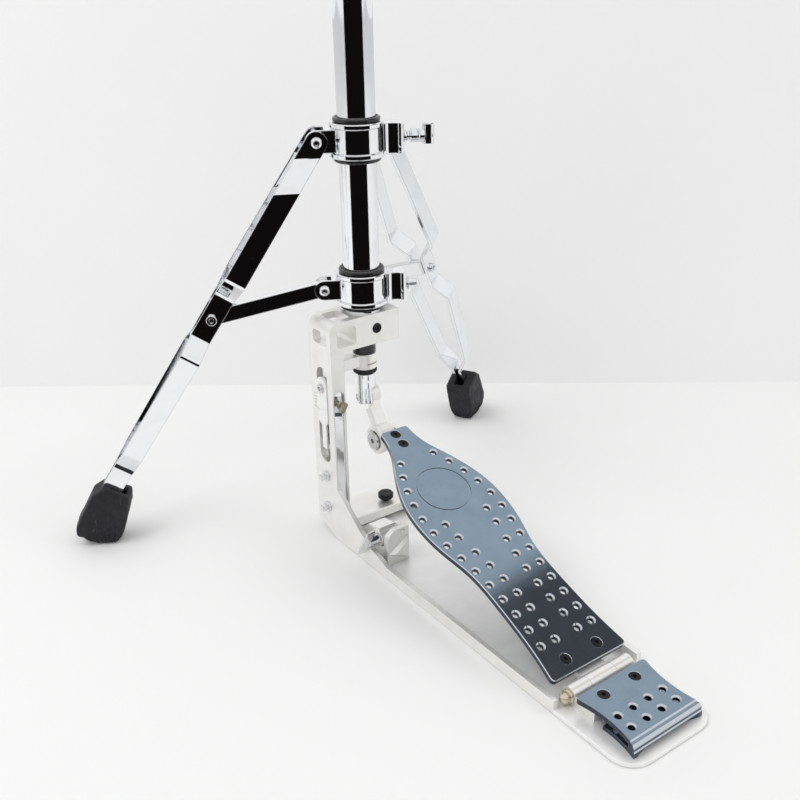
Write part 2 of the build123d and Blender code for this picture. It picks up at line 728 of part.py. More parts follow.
def on_board(x, s, depth=0.0):
    """A plane on the board's top face, or depth below it, facing out."""
    location = BOARD_PLANE.location * Location((x, s, -depth))
    return Plane(location)


def build_board_screws():
    """The flat screws flush with the board's top face."""
    faces = [on_board(x, s) for x, s in board_screw_places()]
    return group(*[flat_screw(face, 2.0, SCREW_LENGTH, SCREW_HEAD_R) for face in faces])


def build_board_knuckle():
    """The moving half of the heel hinge: a leaf under the board with the middle knuckle."""
    under = BOARD_THICKNESS
    leaf_length = 20.0
    reach = KNUCKLE_GAP - 0.2
    web_top = HINGE_Z + 5.0
    with BuildPart() as leaf:
        with BuildSketch(BOARD_PLANE.offset(-under)):
            with Locations((0, 2 + leaf_length / 2)):
                Rectangle(50, leaf_length)
        extrude(amount=-3.8)
        with BuildSketch(across_x(-reach, HINGE_Y, HINGE_Z)):
            Circle(KNUCKLE_R)
        extrude(amount=2 * reach)
        with BuildSketch(Plane.YZ.offset(-reach)):
            with BuildLine():
                Polyline(
                    (HINGE_Y, web_top),
                    (BOARD_HEEL_Y + 3.4, web_top),
                    (BOARD_HEEL_Y + 6.0, HINGE_Z + 2.4),
                    (HINGE_Y + 2, HINGE_Z - 2),
                    close=True,
                )
            make_face()
        extrude(amount=2 * reach)
        with Locations(across_x(0, HINGE_Y, HINGE_Z)):
            Cylinder(AXLE_R + FIT, 80, mode=Mode.SUBTRACT)
        for x in (-HEEL_SCREW_X, HEEL_SCREW_X):
            with Locations(on_board(x, BOARD_HEEL_SCREW)):
                Cylinder(2.05, 30, mode=Mode.SUBTRACT)
        with BuildSketch(BOARD_PLANE.offset(-under)):
            with Locations((0, leaf_length)):
                Rectangle(120, 2 * leaf_length)
        extrude(amount=under * 4, mode=Mode.SUBTRACT)
    return leaf


def build_toe_bracket():
    """The bracket under the toe: a pad on the board and one ear that holds the hub's axle."""
    ear_left = 9.6
    ear_width = 4.6
    with BuildPart() as bracket:
        with BuildSketch(BOARD_PLANE.offset(-BOARD_THICKNESS)):
            with Locations((2.0, 257.0)):
                RectangleRounded(24.4, 24.0, 2.5)
        extrude(amount=-5.0)
        with BuildSketch(across_x(ear_left, HUB_Y, HUB_Z)):
            Circle(10.0)
        extrude(amount=ear_width)
        with BuildSketch(Plane.YZ.offset(ear_left)):
            with BuildLine():
                pad_toe = on_board(0, 268.5, BOARD_THICKNESS).origin
                pad_heel = on_board(0, 245.5, BOARD_THICKNESS + 2.0).origin
                Polyline(
                    (pad_toe.Y, pad_toe.Z),
                    (HUB_Y + 3.0, HUB_Z + 9.4),
                    (HUB_Y - 4.0, HUB_Z - 9.0),
                    (pad_heel.Y, pad_heel.Z),
                    close=True,
                )
            make_face()
        extrude(amount=ear_width)
        with Locations(across_x(ear_left, HUB_Y, HUB_Z)):
            Cylinder(HUB_AXLE_R + 0.02, 40, mode=Mode.SUBTRACT)
        for s in TOE_SCREWS:
            with Locations(on_board(TOE_SCREW_X, s)):
                Cylinder(2.05, 40, mode=Mode.SUBTRACT)
    return bracket


def build_hub_axle():
    """The axle through the link's lower bearing, with a socketed cap on its left end."""
    base = across_x(0, HUB_Y, HUB_Z)
    axle = turned([
        (0, -10.4), (7.6, -10.4), (8.4, -9.6), (8.4, -8.2), (HUB_AXLE_R, -8.2), (HUB_AXLE_R, 14.6), (0, 14.6),
    ], base)
    with BuildPart() as finished:
        add(axle.part)
        with BuildSketch(across_x(-10.4, HUB_Y, HUB_Z)):
            RegularPolygon(2.6, 6)
        extrude(amount=3.0, mode=Mode.SUBTRACT)
    return finished


def build_drive_link():
    """The link: a large lower eye on the toe hub, a strut, and a small upper eye."""
    top_r = 9.0
    base_r = 13.2
    eye_width = 9.4
    along = math.atan2(0 - HUB_Y, LINK_TOP_Z - HUB_Z)
    strut = Plane(origin=(0, HUB_Y, HUB_Z), x_dir=(1, 0, 0), z_dir=(0, math.sin(along), math.cos(along)))
    length = math.hypot(HUB_Y, LINK_TOP_Z - HUB_Z)
    with BuildPart() as link:
        with BuildSketch(across_x(-8.0, HUB_Y, HUB_Z)):
            Circle(base_r)
        extrude(amount=17.2)
        chamfer(link.edges().filter_by(GeomType.CIRCLE), 0.7)
        with BuildSketch(strut):
            with Locations((2.8, 0)):
                RectangleRounded(12.6, 9.0, 1.5)
        extrude(amount=length)
        with BuildSketch(across_x(EAR_FACE + 0.5, 0, LINK_TOP_Z)):
            Circle(top_r)
        extrude(amount=eye_width)
        chamfer(link.edges().filter_by(GeomType.CIRCLE).group_by(Axis.Z)[-1], 0.6)
        # room for the coupling's ear
        with BuildSketch(across_x(-14.0, 0, LINK_TOP_Z)):
            Circle(13.0)
        extrude(amount=14.0 + EAR_FACE + 0.4, mode=Mode.SUBTRACT)
        with Locations(across_x(0, HUB_Y, HUB_Z)):
            Cylinder(HUB_BEARING_R + 0.01, 60, mode=Mode.SUBTRACT)
        with Locations(across_x(0, 0, LINK_TOP_Z)):
            Cylinder(LINK_EYE_R, 60, mode=Mode.SUBTRACT)
    return link


def build_hub_bearings():
    """Two ball-bearing units pressed into the link's lower eye."""
    base = across_x(0, HUB_Y, HUB_Z)
    return group(*[
        turned_ring(a, b, HUB_BEARING_R, HUB_AXLE_R + FIT, 0.3, base) for a, b in ((-7.6, -2.0), (3.2, 8.8))
    ])


def build_coupling():
    """The coupling on the rod's lower end, cut away to one ear beside the link's eye."""
    bottom = LINK_TOP_Z - 5.6
    neck = LINK_TOP_Z + 9.7
    with BuildPart() as coupling:
        with BuildSketch(Plane.XY.offset(bottom)):
            Circle(9.2)
        extrude(amount=COUPLING_TOP - bottom)
        chamfer(coupling.faces().sort_by(Axis.Z)[-1].edges(), 0.8)
        with BuildSketch(Plane.XY.offset(bottom - 1)):
            with Locations((10 + EAR_FACE, 0)):
                Rectangle(20, 30)
        extrude(amount=neck - bottom + 1, mode=Mode.SUBTRACT)
        # vertical grooves that leave a round rib down the ear
        with BuildSketch(Plane.XY.offset(bottom - 1)):
            with Locations((-4.4, -9.2), (-4.4, 9.2)):
                Circle(2.2)
        extrude(amount=neck - bottom + 1, mode=Mode.SUBTRACT)
        with Locations(across_x(0, 0, LINK_TOP_Z)):
            Cylinder(LINK_PIN_R + 0.02, 30, mode=Mode.SUBTRACT)
        with Locations((0, 0, COUPLING_TOP)):
            Hole(ROD_R + 0.02, 3.0)
    return coupling


def build_link_pin():
    """The pin on the coupling's ear that carries the link's upper eye."""
    ear_back = -8.6
    eye_end = EAR_FACE + 10.4
    return turned([
        (0, ear_back), (LINK_PIN_R, ear_back), (LINK_PIN_R, eye_end), (6.0, eye_end),
        (6.0, eye_end + 1.2), (5.4, eye_end + 1.8), (0, eye_end + 1.8),
    ], across_x(0, 0, LINK_TOP_Z))


def build_drive_rod():
    """The lower rod, from the coupling up inside the tube, with a socket that takes the pull rod."""
    shoulder = ROD_SOCKET_Z - 6
    socket_r = PULL_ROD_R + 0.02
    return turned([
        (0, COUPLING_TOP - 3), (ROD_R, COUPLING_TOP - 3), (ROD_R, shoulder), (5.5, shoulder + 1.5),
        (5.5, ROD_SOCKET_Z + 15), (socket_r, ROD_SOCKET_Z + 15), (socket_r, ROD_SOCKET_Z), (0, ROD_SOCKET_Z),
    ])


def build_carriage():
    """The carriage: a split ring on the rod and an arm that reaches into the post."""
    with BuildPart() as carriage:
        with BuildSketch(Plane.XY.offset(CARRIAGE_BOTTOM)):
            Circle(11.2)
        extrude(amount=CARRIAGE_TOP - CARRIAGE_BOTTOM)
        chamfer(carriage.edges().filter_by(GeomType.CIRCLE), 0.7)
        with BuildSketch(Plane.XY.offset(163.5)):
            with Locations((-16.0, 0)):
                Rectangle(33.0, 12.0)
        extrude(amount=10.5)
        with BuildSketch(Plane.XY.offset(163.5)):
            with Locations((-32.0, 0)):
                Rectangle(10.0, 6.0)
        extrude(amount=10.5)
        # everything left of the post's inner face is the narrow tongue in its slot
        with BuildSketch(Plane.YZ.offset(POST_RIGHT + 0.4)):
            with Locations((8, 168), (-8, 168)):
                Rectangle(10.0, 24.0)
        extrude(amount=-8.0, mode=Mode.SUBTRACT)
        # round guide that rides on the spring
        with Locations((SPRING_X, 0, SPRING_TOP)):
            Cylinder(4.6, 17.0, align=(Align.CENTER, Align.CENTER, Align.MIN))
        with Locations((0, 0, CARRIAGE_BOTTOM)):
            Cylinder(ROD_R + 0.02, 60, mode=Mode.SUBTRACT)
        # level saw cut through the front half of the ring
        with BuildSketch(Plane.XY.offset(165.2)):
            with Locations((4.0, -8.0)):
                Rectangle(15.0, 12.0)
        extrude(amount=1.1, mode=Mode.SUBTRACT)
    return carriage


def build_rod_bumper():
    """The black rubber ring between the carriage and the coupling."""
    return turned_ring(COUPLING_TOP + 0.1, CARRIAGE_BOTTOM - 0.1, 11.0, ROD_R + 0.02, 1.4)


def build_guide_bush():
    """The black bush that guides the rod below the tube."""
    bottom = CARRIAGE_TOP + 0.4
    return turned([
        (ROD_R + FIT, bottom), (9.6, bottom), (10.4, bottom + 1.0), (10.4, ARM_BOTTOM - 0.05),
        (GUIDE_SLEEVE_R, ARM_BOTTOM - 0.05), (GUIDE_SLEEVE_R, TUBE_BOTTOM - 0.3),
        (ROD_R + FIT, TUBE_BOTTOM - 0.3),
    ])


def build_tube_clamp_screw():
    """The black socket screw in the front of the arm."""
    seat = Plane(origin=(2.8, -FRAME_HALF_DEPTH + 1.15, 201.5), x_dir=(1, 0, 0), z_dir=(0, -1, 0))
    return socket_screw(seat, 2.5, 5.5, 4.5, 2.2)


def build_post_key_screws():
    """Two square-headed key screws low on the post's left face."""
    screws = []
    for z in (29.2, 62.0):
        with BuildPart() as screw:
            seat = across_x(FRAME_LEFT, 0, z)
            with BuildSketch(seat.offset(-2.0)):
                Circle(2.5)
            extrude(amount=9.5)
            with BuildSketch(seat.offset(-2.0)):
                Circle(5.2)
            extrude(amount=1.9)
            with BuildSketch(seat.offset(-2.0)):
                Rectangle(4.4, 4.4)
            extrude(amount=-5.0)
        screws.append(screw)
    return group(*screws)


def build_spring_cover():
    """The polished strip that closes the front of the spring channel."""
    middle = (COVER_TOP + COVER_BOTTOM) / 2
    with BuildPart() as cover:
        with BuildSketch(Plane.XZ.offset(FRAME_HALF_DEPTH - 2.6)):
            with Locations((SPRING_X, middle)):
                SlotOverall(COVER_TOP - COVER_BOTTOM - 0.2, 10.4, rotation=90)
        extrude(amount=-1.3)
        with Locations(Plane(origin=(SPRING_X, -FRAME_HALF_DEPTH, LOCK_Z), z_dir=(0, -1, 0))):
            Cylinder(2.05, 20, mode=Mode.SUBTRACT)
    return cover


def build_spring():
    """The return spring under the carriage, coiled inside the post."""
    wire_r = 0.7
    mean_r = 3.6
    bottom = SPRING_SEAT_TOP + wire_r + 0.1
    top = SPRING_TOP - wire_r - 0.1
    turns = 11
    with BuildPart() as spring:
        with BuildLine():
            coil = Helix(
                pitch=(top - bottom) / turns, height=top - bottom, radius=mean_r, center=(SPRING_X, 0, bottom)
            )
        with BuildSketch(Plane(origin=coil @ 0, z_dir=coil % 0)):
            Circle(wire_r)
        sweep(path=coil, is_frenet=True)
    return spring


def build_tension_slider():
    """The tension slider: an oblong block in the left slot with a foot that carries the spring."""
    outer = FRAME_LEFT - 1.2
    foot_bottom = SPRING_SEAT_TOP - 4
    with BuildPart() as slider:
        with BuildSketch(Plane.YZ.offset(outer)):
            with Locations((0, SLIDER_Z)):
                SlotOverall(SLIDER_LENGTH, SLIDER_WIDTH, rotation=90)
        extrude(amount=2.7)
        chamfer(slider.faces().sort_by(Axis.X)[0].edges(), 0.4)
        with BuildSketch(Plane.YZ.offset(outer + 1.0)):
            with Locations((0, (foot_bottom + SLIDER_Z) / 2)):
                Rectangle(6.8, SLIDER_Z - foot_bottom)
        extrude(amount=1.7)
        with BuildSketch(Plane.XY.offset(foot_bottom)):
            with Locations((SPRING_X, 0)):
                Circle(4.7)
            with Locations((SPRING_X - 3.3, 0)):
                Rectangle(6.4, 5.2)
        extrude(amount=4.0)
        # pointer groove that is read against the gauge marks
        with BuildSketch(Plane.YZ.offset(outer)):
            with Locations((SLIDER_WIDTH / 2 - 3.4, GAUGE_POINTER)):
                Rectangle(5.0, 1.0)
        extrude(amount=0.6, mode=Mode.SUBTRACT)
        with Locations(across_x(FRAME_LEFT, 0, SLIDER_SCREW_Z)):
            Cylinder(2.05, 20, mode=Mode.SUBTRACT)
    return slider


def build_tension_screw():
    """The screw in the slider's plate."""
    seat = Plane(origin=(FRAME_LEFT - 1.25, 0, SLIDER_SCREW_Z), x_dir=(0, 1, 0), z_dir=(-1, 0, 0))
    return socket_screw(seat, 2.0, 2.6, 4.4, 1.8)


def build_tension_lock():
    """The brass thumb screw on the front of the post that locks the slider."""
    seat = Plane(origin=(SPRING_X, -FRAME_HALF_DEPTH - 1.0, LOCK_Z), x_dir=(0.5, 0, 0.86), z_dir=(0, -1, 0))
    with BuildPart() as screw:
        with BuildSketch(seat):
            Circle(3.4)
        extrude(amount=2.6)
        with BuildSketch(seat.offset(2.6)):
            SlotOverall(10.4, 4.4)
        extrude(amount=4.6)
        with BuildSketch(seat):
            Circle(1.95)
        extrude(amount=-10.0)
    return screw


# ---- main tube, collars and legs ----
def build_base_tube():
    """The main tube."""
    return turned_ring(TUBE_BOTTOM, TUBE_TOP, TUBE_R, TUBE_R - TUBE_WALL, 0)


def lug_plane(height):
    """A plane at the end of a collar's lug, facing out along it."""
    azimuth = math.radians(LUG_AZIMUTH)
    out = Vector(math.cos(azimuth), math.sin(azimuth), 0)
    return Plane(origin=out * LUG_END + UP * height, x_dir=UP.cross(out), z_dir=out)


def build_collar(height, pivot_r, gap, ear_height):
    """A chromed collar with a screw lug and a pair of ears for each leg, centred at height."""
    half = COLLAR_HEIGHT / 2
    rim = 4.6
    body = turned([
        (BUSH_R + 0.05, -half),
        (COLLAR_RIM_R - 0.8, -half),
        (COLLAR_RIM_R, -half + 0.8),
        (COLLAR_RIM_R, -half + rim - 0.8),
        (COLLAR_R, -half + rim),
        (COLLAR_R, half - rim),
        (COLLAR_RIM_R, half - rim + 0.8),
        (COLLAR_RIM_R, half - 0.8),
        (COLLAR_RIM_R - 0.8, half),
        (BUSH_R + 0.05, half),
    ], Plane(origin=(0, 0, height)))
    lug = Plane(origin=(0, 0, height - half + 2.2)).rotated((0, 0, LUG_AZIMUTH))
    with BuildPart() as ears:
        with BuildSketch(LEG_PLANE):
            with Locations((pivot_r / 2 + 9, height)):
                Rectangle(pivot_r - 18, ear_height)
            with Locations((pivot_r, height)):
                Circle(ear_height / 2)
        extrude(amount=gap + EAR_THICKNESS, both=True)
        with BuildSketch(LEG_PLANE):
            with Locations((pivot_r + 10.5, height)):
                Rectangle(34, 40)
        extrude(amount=gap, both=True, mode=Mode.SUBTRACT)
        with Locations(Plane(origin=LEG_OUT * pivot_r + UP * height, z_dir=LEG_SIDE)):
            Cylinder(PIVOT_R + 0.02, 80, mode=Mode.SUBTRACT)
        mirror(about=Plane.YZ)
    with BuildPart() as block:
        with BuildSketch(lug):
            with Locations((LUG_END / 2 + 8, 0)):
                RectangleRounded(LUG_END - 16, LUG_WIDTH, 6.0)
        extrude(amount=COLLAR_HEIGHT - 4.4)
        fillet(block.faces().filter_by(Axis.Z).edges(), 1.0)
        # both sides of the lug are scooped out behind its end
        with BuildSketch(lug.offset(-5)):
            along = LUG_END - 3.2 - LUG_SCOOP_R * 0.85
            aside = LUG_WIDTH / 2 + LUG_SCOOP_R - 4.2
            with Locations((along, aside), (along, -aside)):
                Circle(LUG_SCOOP_R)
        extrude(amount=COLLAR_HEIGHT + 10, mode=Mode.SUBTRACT)
    with BuildPart() as collar:
        add(body.part)
        add(block.part)
        add(ears.part)
        with Locations((0, 0, height)):
            Cylinder(BUSH_R + 0.05, 80, mode=Mode.SUBTRACT)
        with Locations(lug_plane(height)):
            Cylinder(3.05, 2 * (LUG_END - BUSH_R - 3), mode=Mode.SUBTRACT)
    return collar


def build_collar_bushes(height):
    """The two flanged black bushes that line a collar."""
    half = COLLAR_HEIGHT / 2
    inner = TUBE_R + FIT
    upper = [
        (inner, 0.2), (BUSH_R, 0.2), (BUSH_R, half + 0.05), (BUSH_FLANGE_R - 1, half + 0.05),
        (BUSH_FLANGE_R, half + 0.9), (BUSH_FLANGE_R, half + BUSH_FLANGE - 0.9),
        (BUSH_FLANGE_R - 0.8, half + BUSH_FLANGE), (BUSH_FLANGE_R - 1.8, half + BUSH_FLANGE),
        (inner + 0.6, half + 1.6), (inner, half + 1.6),
    ]
    lower = [(r, -z) for r, z in upper]
    base = Plane(origin=(0, 0, height))
    return group(turned(upper, base), turned(lower, base))


def build_collar_wing():
    """The upper collar's key screw: a shank, a stout waisted barrel and a cross piece on its end."""
    seat = lug_plane(UPPER_COLLAR_Z).offset(0.3)
    stem = turned([
        (0, -14.0), (3.0, -14.0), (3.0, 0), (5.0, 0.2), (5.0, 2.0), (3.6, 3.0), (3.6, 4.6), (5.8, 6.0),
        (5.8, 11.0), (5.0, 12.0), (5.8, 13.0), (5.8, 17.0), (4.8, 18.0), (0, 18.0),
    ], seat)
    with BuildPart() as screw:
        add(stem.part)
        with BuildSketch(Plane(origin=seat.origin + seat.z_dir * 21.0 - UP * 6.6, z_dir=UP)):
            Circle(5.2)
        extrude(amount=16.6)
        chamfer(screw.edges().filter_by(GeomType.CIRCLE).group_by(Axis.Z)[-1], 0.8)
        with BuildSketch(seat.offset(16.0)):
            Circle(4.6)
        extrude(amount=8.0)
    return screw


def build_collar_screw():
    """The lower collar's socket screw, with a small flange."""
    seat = lug_plane(LOWER_COLLAR_Z).offset(0.3)
    return turned([
        (0, -14.0), (3.0, -14.0), (3.0, 0), (5.8, 0), (6.2, 0.6), (6.2, 1.6), (5.6, 2.2), (3.8, 2.2),
        (3.8, 9.0), (3.2, 9.8), (0, 9.8),
    ], seat)


def pivot_pins(pivot, reach):
    """Headed pins through both legs' ears at a pivot, socketed in front and peened over behind."""
    head_r = 4.7
    rivet = turned([
        (0, reach + 2.8), (2.6, reach + 2.6), (4.2, reach + 1.6), (head_r, reach), (PIVOT_R, reach),
        (PIVOT_R, -reach), (head_r, -reach), (4.2, -reach - 1.6), (2.6, -reach - 2.6), (0, -reach - 2.8),
    ], Plane(origin=pivot, z_dir=LEG_FRONT))
    with BuildPart() as pin:
        add(rivet.part)
        with BuildSketch(Plane(origin=pivot + LEG_FRONT * (reach + 2.8), z_dir=LEG_FRONT)):
            RegularPolygon(2.0, 6)
        extrude(amount=-2.0, mode=Mode.SUBTRACT)
    return group(pin, mirrored(pin))


def build_leg_straps():
    """The left leg's two straps, bowed apart above and below the brace's pivot."""
    inner = STRAP_COURSE
    outer = [(s, gap + STRAP_THICKNESS) for s, gap in STRAP_COURSE]
    with BuildPart() as straps:
        with BuildSketch(STRAP_PLANE):
            with BuildLine() as course:
                Polyline(*inner)
                fillet(course.vertices().sort_by(Axis.X)[1:-1], STRAP_BEND_R)
            with BuildLine() as back:
                Polyline(*outer)
                fillet(back.vertices().sort_by(Axis.X)[1:-1], STRAP_BEND_R)
            with BuildLine():
                Line(inner[0], outer[0])
                Line(inner[-1], outer[-1])
            make_face()
        extrude(amount=STRAP_WIDTH / 2, both=True)
        ends = straps.edges().filter_by(Axis(STRAP_PLANE.origin, STRAP_PLANE.y_dir))
        fillet(ends.sort_by(Axis(LEG_PIVOT, LEG_ALONG))[:2], STRAP_WIDTH / 2 - 0.6)
        for centre, radius in ((LEG_PIVOT, PIVOT_R + FIT), (BRACE_JOINT, PIVOT_R + 0.02)):
            with Locations(Plane(origin=centre, z_dir=LEG_SIDE)):
                Cylinder(radius, 80, mode=Mode.SUBTRACT)
        mirror(about=LEG_PLANE)
    return straps


def build_leg_screws():
    """The left leg's pair of button screws at the brace's pivot, one from each side."""
    screws = []
    for side in (LEG_FRONT, LEG_SIDE):
        seat = Plane(origin=BRACE_JOINT + side * (PINCH_GAP + STRAP_THICKNESS + 0.02), z_dir=side)
        screws.append(socket_screw(seat, PIVOT_R, STRAP_THICKNESS, 4.7, 2.6))
    return group(*screws)


def build_brace():
    """The left brace: a channel, open below, from the lower collar to the leg's pinch."""
    half_height = 6.4
    wall = 2.0
    middle = (BRACE_PIVOT + BRACE_JOINT) * 0.5
    level = Plane(origin=middle, x_dir=(BRACE_JOINT - BRACE_PIVOT), z_dir=LEG_SIDE)
    with BuildPart() as brace:
        with BuildSketch(level):
            SlotCenterToCenter(BRACE_LENGTH, 2 * half_height)
        extrude(amount=BRACE_HALF_WIDTH, both=True)
        with BuildSketch(level):
            with Locations((0, -wall)):
                Rectangle(BRACE_LENGTH + 4 * half_height, 2 * half_height)
        extrude(amount=BRACE_HALF_WIDTH - wall, both=True, mode=Mode.SUBTRACT)
        with Locations(Plane(origin=BRACE_PIVOT, z_dir=LEG_SIDE)):
            Cylinder(PIVOT_R + FIT, 40, mode=Mode.SUBTRACT)
        with Locations(Plane(origin=BRACE_JOINT, z_dir=LEG_SIDE)):
            Cylinder(PIVOT_R + 0.2, 40, mode=Mode.SUBTRACT)
    return brace


def build_foot():
    """The left leg's rubber foot, wider along the leg than across it, with a slot for the straps."""
    half_width = 14.5
    with BuildPart() as foot:
        with BuildSketch(LEG_PLANE):
            with BuildLine():
                Polyline(
                    (222, 56), (223, 44), (236, 0), (262, 0), (276, 13), (275, 25), (257, 62), (244, 71),
                    close=True,
                )
            make_face()
        extrude(amount=half_width, both=True)
        fillet(foot.edges().filter_by(Axis(LEG_PLANE.origin, LEG_SIDE)).sort_by(Axis.Z)[2:], 4.0)
        sides = foot.faces().filter_by(Axis(LEG_PLANE.origin, LEG_SIDE))
        fillet(sides.edges(), 3.5)
        with BuildSketch(STRAP_PLANE):
            with Locations((394.4 - 30, 0)):
                Rectangle(60, 2 * (2.2 + STRAP_THICKNESS + 0.05))
        extrude(amount=STRAP_WIDTH / 2 + 0.05, both=True, mode=Mode.SUBTRACT)
    return foot


# ---- height clamp, upper tube, seat and clutch ----
def build_height_clamp():
    """The clamp on the main tube's top: a stepped sleeve, split on the right, with two lugs."""
    bottom = CLAMP_TOP - 62.0
    shoulder = TUBE_TOP + 0.2
    body = turned([
        (TUBE_R + 0.05, bottom), (21.0, bottom), (22.0, bottom + 1.0), (22.0, bottom + 8),
        (20.0, bottom + 10), (20.0, CLAMP_TOP - 24), (18.5, CLAMP_TOP - 20), (18.5, CLAMP_TOP - 1.2),
        (17.3, CLAMP_TOP), (UPPER_TUBE_R + FIT, CLAMP_TOP), (UPPER_TUBE_R + FIT, shoulder),
        (TUBE_R + 0.05, shoulder),
    ])
    with BuildPart() as clamp:
        add(body.part)
        with BuildSketch(Plane.XY.offset(CLAMP_TOP - 21)):
            with Locations((22, 0)):
                RectangleRounded(22, 22, 3)
        extrude(amount=18)
        with Locations((0, 0, CLAMP_TOP)):
            Cylinder(UPPER_TUBE_R + FIT, 60, mode=Mode.SUBTRACT)
        with BuildSketch(Plane.XY.offset(CLAMP_TOP - 34)):
            with Locations((20, 0)):
                Rectangle(32, 2.4)
        extrude(amount=40, mode=Mode.SUBTRACT)
        with Locations(Plane(origin=(25.5, 0, CLAMP_TOP - 12), z_dir=(0, 1, 0))):
            Cylinder(3.06, 40, mode=Mode.SUBTRACT)
    return clamp


def build_height_wing():
    """The wing bolt that closes the height clamp."""
    seat = Plane(origin=(25.5, -11.2, CLAMP_TOP - 12), x_dir=(0.8, 0, 0.6), z_dir=(0, -1, 0))
    return wing_screw(seat, 3.0, 22.0, 6.0, 14.0, 44.0, 6.0, wing_start=9.5)


def build_upper_tube():
    """The upper tube, sliding in the main tube, with the seat's threaded collar on top."""
    return turned([
        (9.5, 380), (UPPER_TUBE_R, 380), (UPPER_TUBE_R, UPPER_TUBE_TOP), (9.5, UPPER_TUBE_TOP),
    ])


def build_seat_base():
    """The chromed seat base pressed on the upper tube, with a fork for the tilting cup."""
    top = UPPER_TUBE_TOP
    base = turned([
        (UPPER_TUBE_R + 0.02, top - 26), (15.0, top - 26), (16.0, top - 24), (16.0, top - 4), (14.0, top),
        (14.0, top + 2), (8.6, top + 2), (8.6, top + 0.05), (UPPER_TUBE_R + 0.02, top + 0.05),
    ])
    with BuildPart() as seat:
        add(base.part)
        for y in (-13.4, 10.4):
            with BuildSketch(Plane.XZ.offset(-y)):
                with Locations((0, top + 5.6)):
                    Rectangle(9, 11)
                with Locations((0, SEAT_PIVOT_Z)):
                    Circle(4.5)
            extrude(amount=-3.0)
        with Locations(Plane(origin=(0, 0, SEAT_PIVOT_Z), z_dir=(0, 1, 0))):
            Cylinder(1.8 + FIT, 60, mode=Mode.SUBTRACT)
        with Locations((0, 0, top)):
            Cylinder(8.6, 40, mode=Mode.SUBTRACT)
    return seat


def build_seat_cup():
    """The tilting cup that the lower cymbal sits on, hung on two short trunnions."""
    z = SEAT_PIVOT_Z
    dish = turned([
        (7.0, z - 3.4), (10.0, z - 3.4), (10.0, z + 4.8), (17.0, z + 6.0), (23.0, z + 7.5), (23.0, z + 9.5),
        (8.2, z + 9.5), (8.2, z + 24.0), (7.0, z + 24.0),
    ])
    with BuildPart() as cup:
        add(dish.part)
        for y in (10.0, -10.0):
            with BuildSketch(Plane.XZ.offset(y * 0.9)):
                with Locations((0, z)):
                    Circle(1.8)
            extrude(amount=y / 10 * 4.0)
    return cup


def build_seat_felt():
    """The thick felt ring on the seat cup."""
    z = SEAT_PIVOT_Z
    return turned_ring(z + 9.6, z + 17.0, 19.0, 8.3, 1.6)


def build_pull_rod():
    """The pull rod, from the drive rod's socket inside the tube to above the clutch."""
    return turned_ring(ROD_SOCKET_Z + 0.2, ROD_TOP, PULL_ROD_R, 0, 0.5)


def build_clutch_body():
    """The clutch's sleeve, with a boss for its wing screw and a threaded lower end."""
    z = CLUTCH_BOTTOM
    inner = PULL_ROD_R + FIT
    sleeve_body = turned([
        (inner, z - 8), (6.2, z - 8), (6.2, z + 28), (8.8, z + 28.6), (9.4, z + 30), (9.4, z + 54),
        (8.6, z + 56), (inner, z + 56),
    ])
    with BuildPart() as body:
        add(sleeve_body.part)
        with BuildSketch(Plane(origin=(4, 0, z + 43), x_dir=(0, 1, 0), z_dir=(1, 0, 0))):
            Circle(6.0)
        extrude(amount=9.0)
        with Locations((0, 0, z + 24)):
            Cylinder(inner, 90, mode=Mode.SUBTRACT)
        with Locations(Plane(origin=(13, 0, z + 43), x_dir=(0, 1, 0), z_dir=(1, 0, 0))):
            Cylinder(2.56, 18, mode=Mode.SUBTRACT)
    return body


def build_clutch_wing():
    """The clutch's wing screw, which grips the pull rod."""
    seat = Plane(origin=(13.4, 0, CLUTCH_BOTTOM + 43), x_dir=(0, 0.8, 0.6), z_dir=(1, 0, 0))
    return wing_screw(seat, 2.5, 9.2, 4.6, 10.0, 32.0, 5.0, wing_start=4.0)


def build_clutch_felts():
    """The two felts that hold the upper cymbal in the clutch."""
    z = CLUTCH_BOTTOM
    return group(*[turned_ring(a, a + 7.0, 17.0, 6.4, 1.6) for a in (z + 0.2, z + 9.4)])


def build_clutch_nuts():
    """The clutch's round nuts: one under the lower felt and one above the upper felt."""
    z = CLUTCH_BOTTOM
    return group(turned_ring(z - 5.0, z, 11.5, 6.24, 0.8), turned_ring(z + 16.8, z + 22.0, 12.5, 6.24, 0.8))


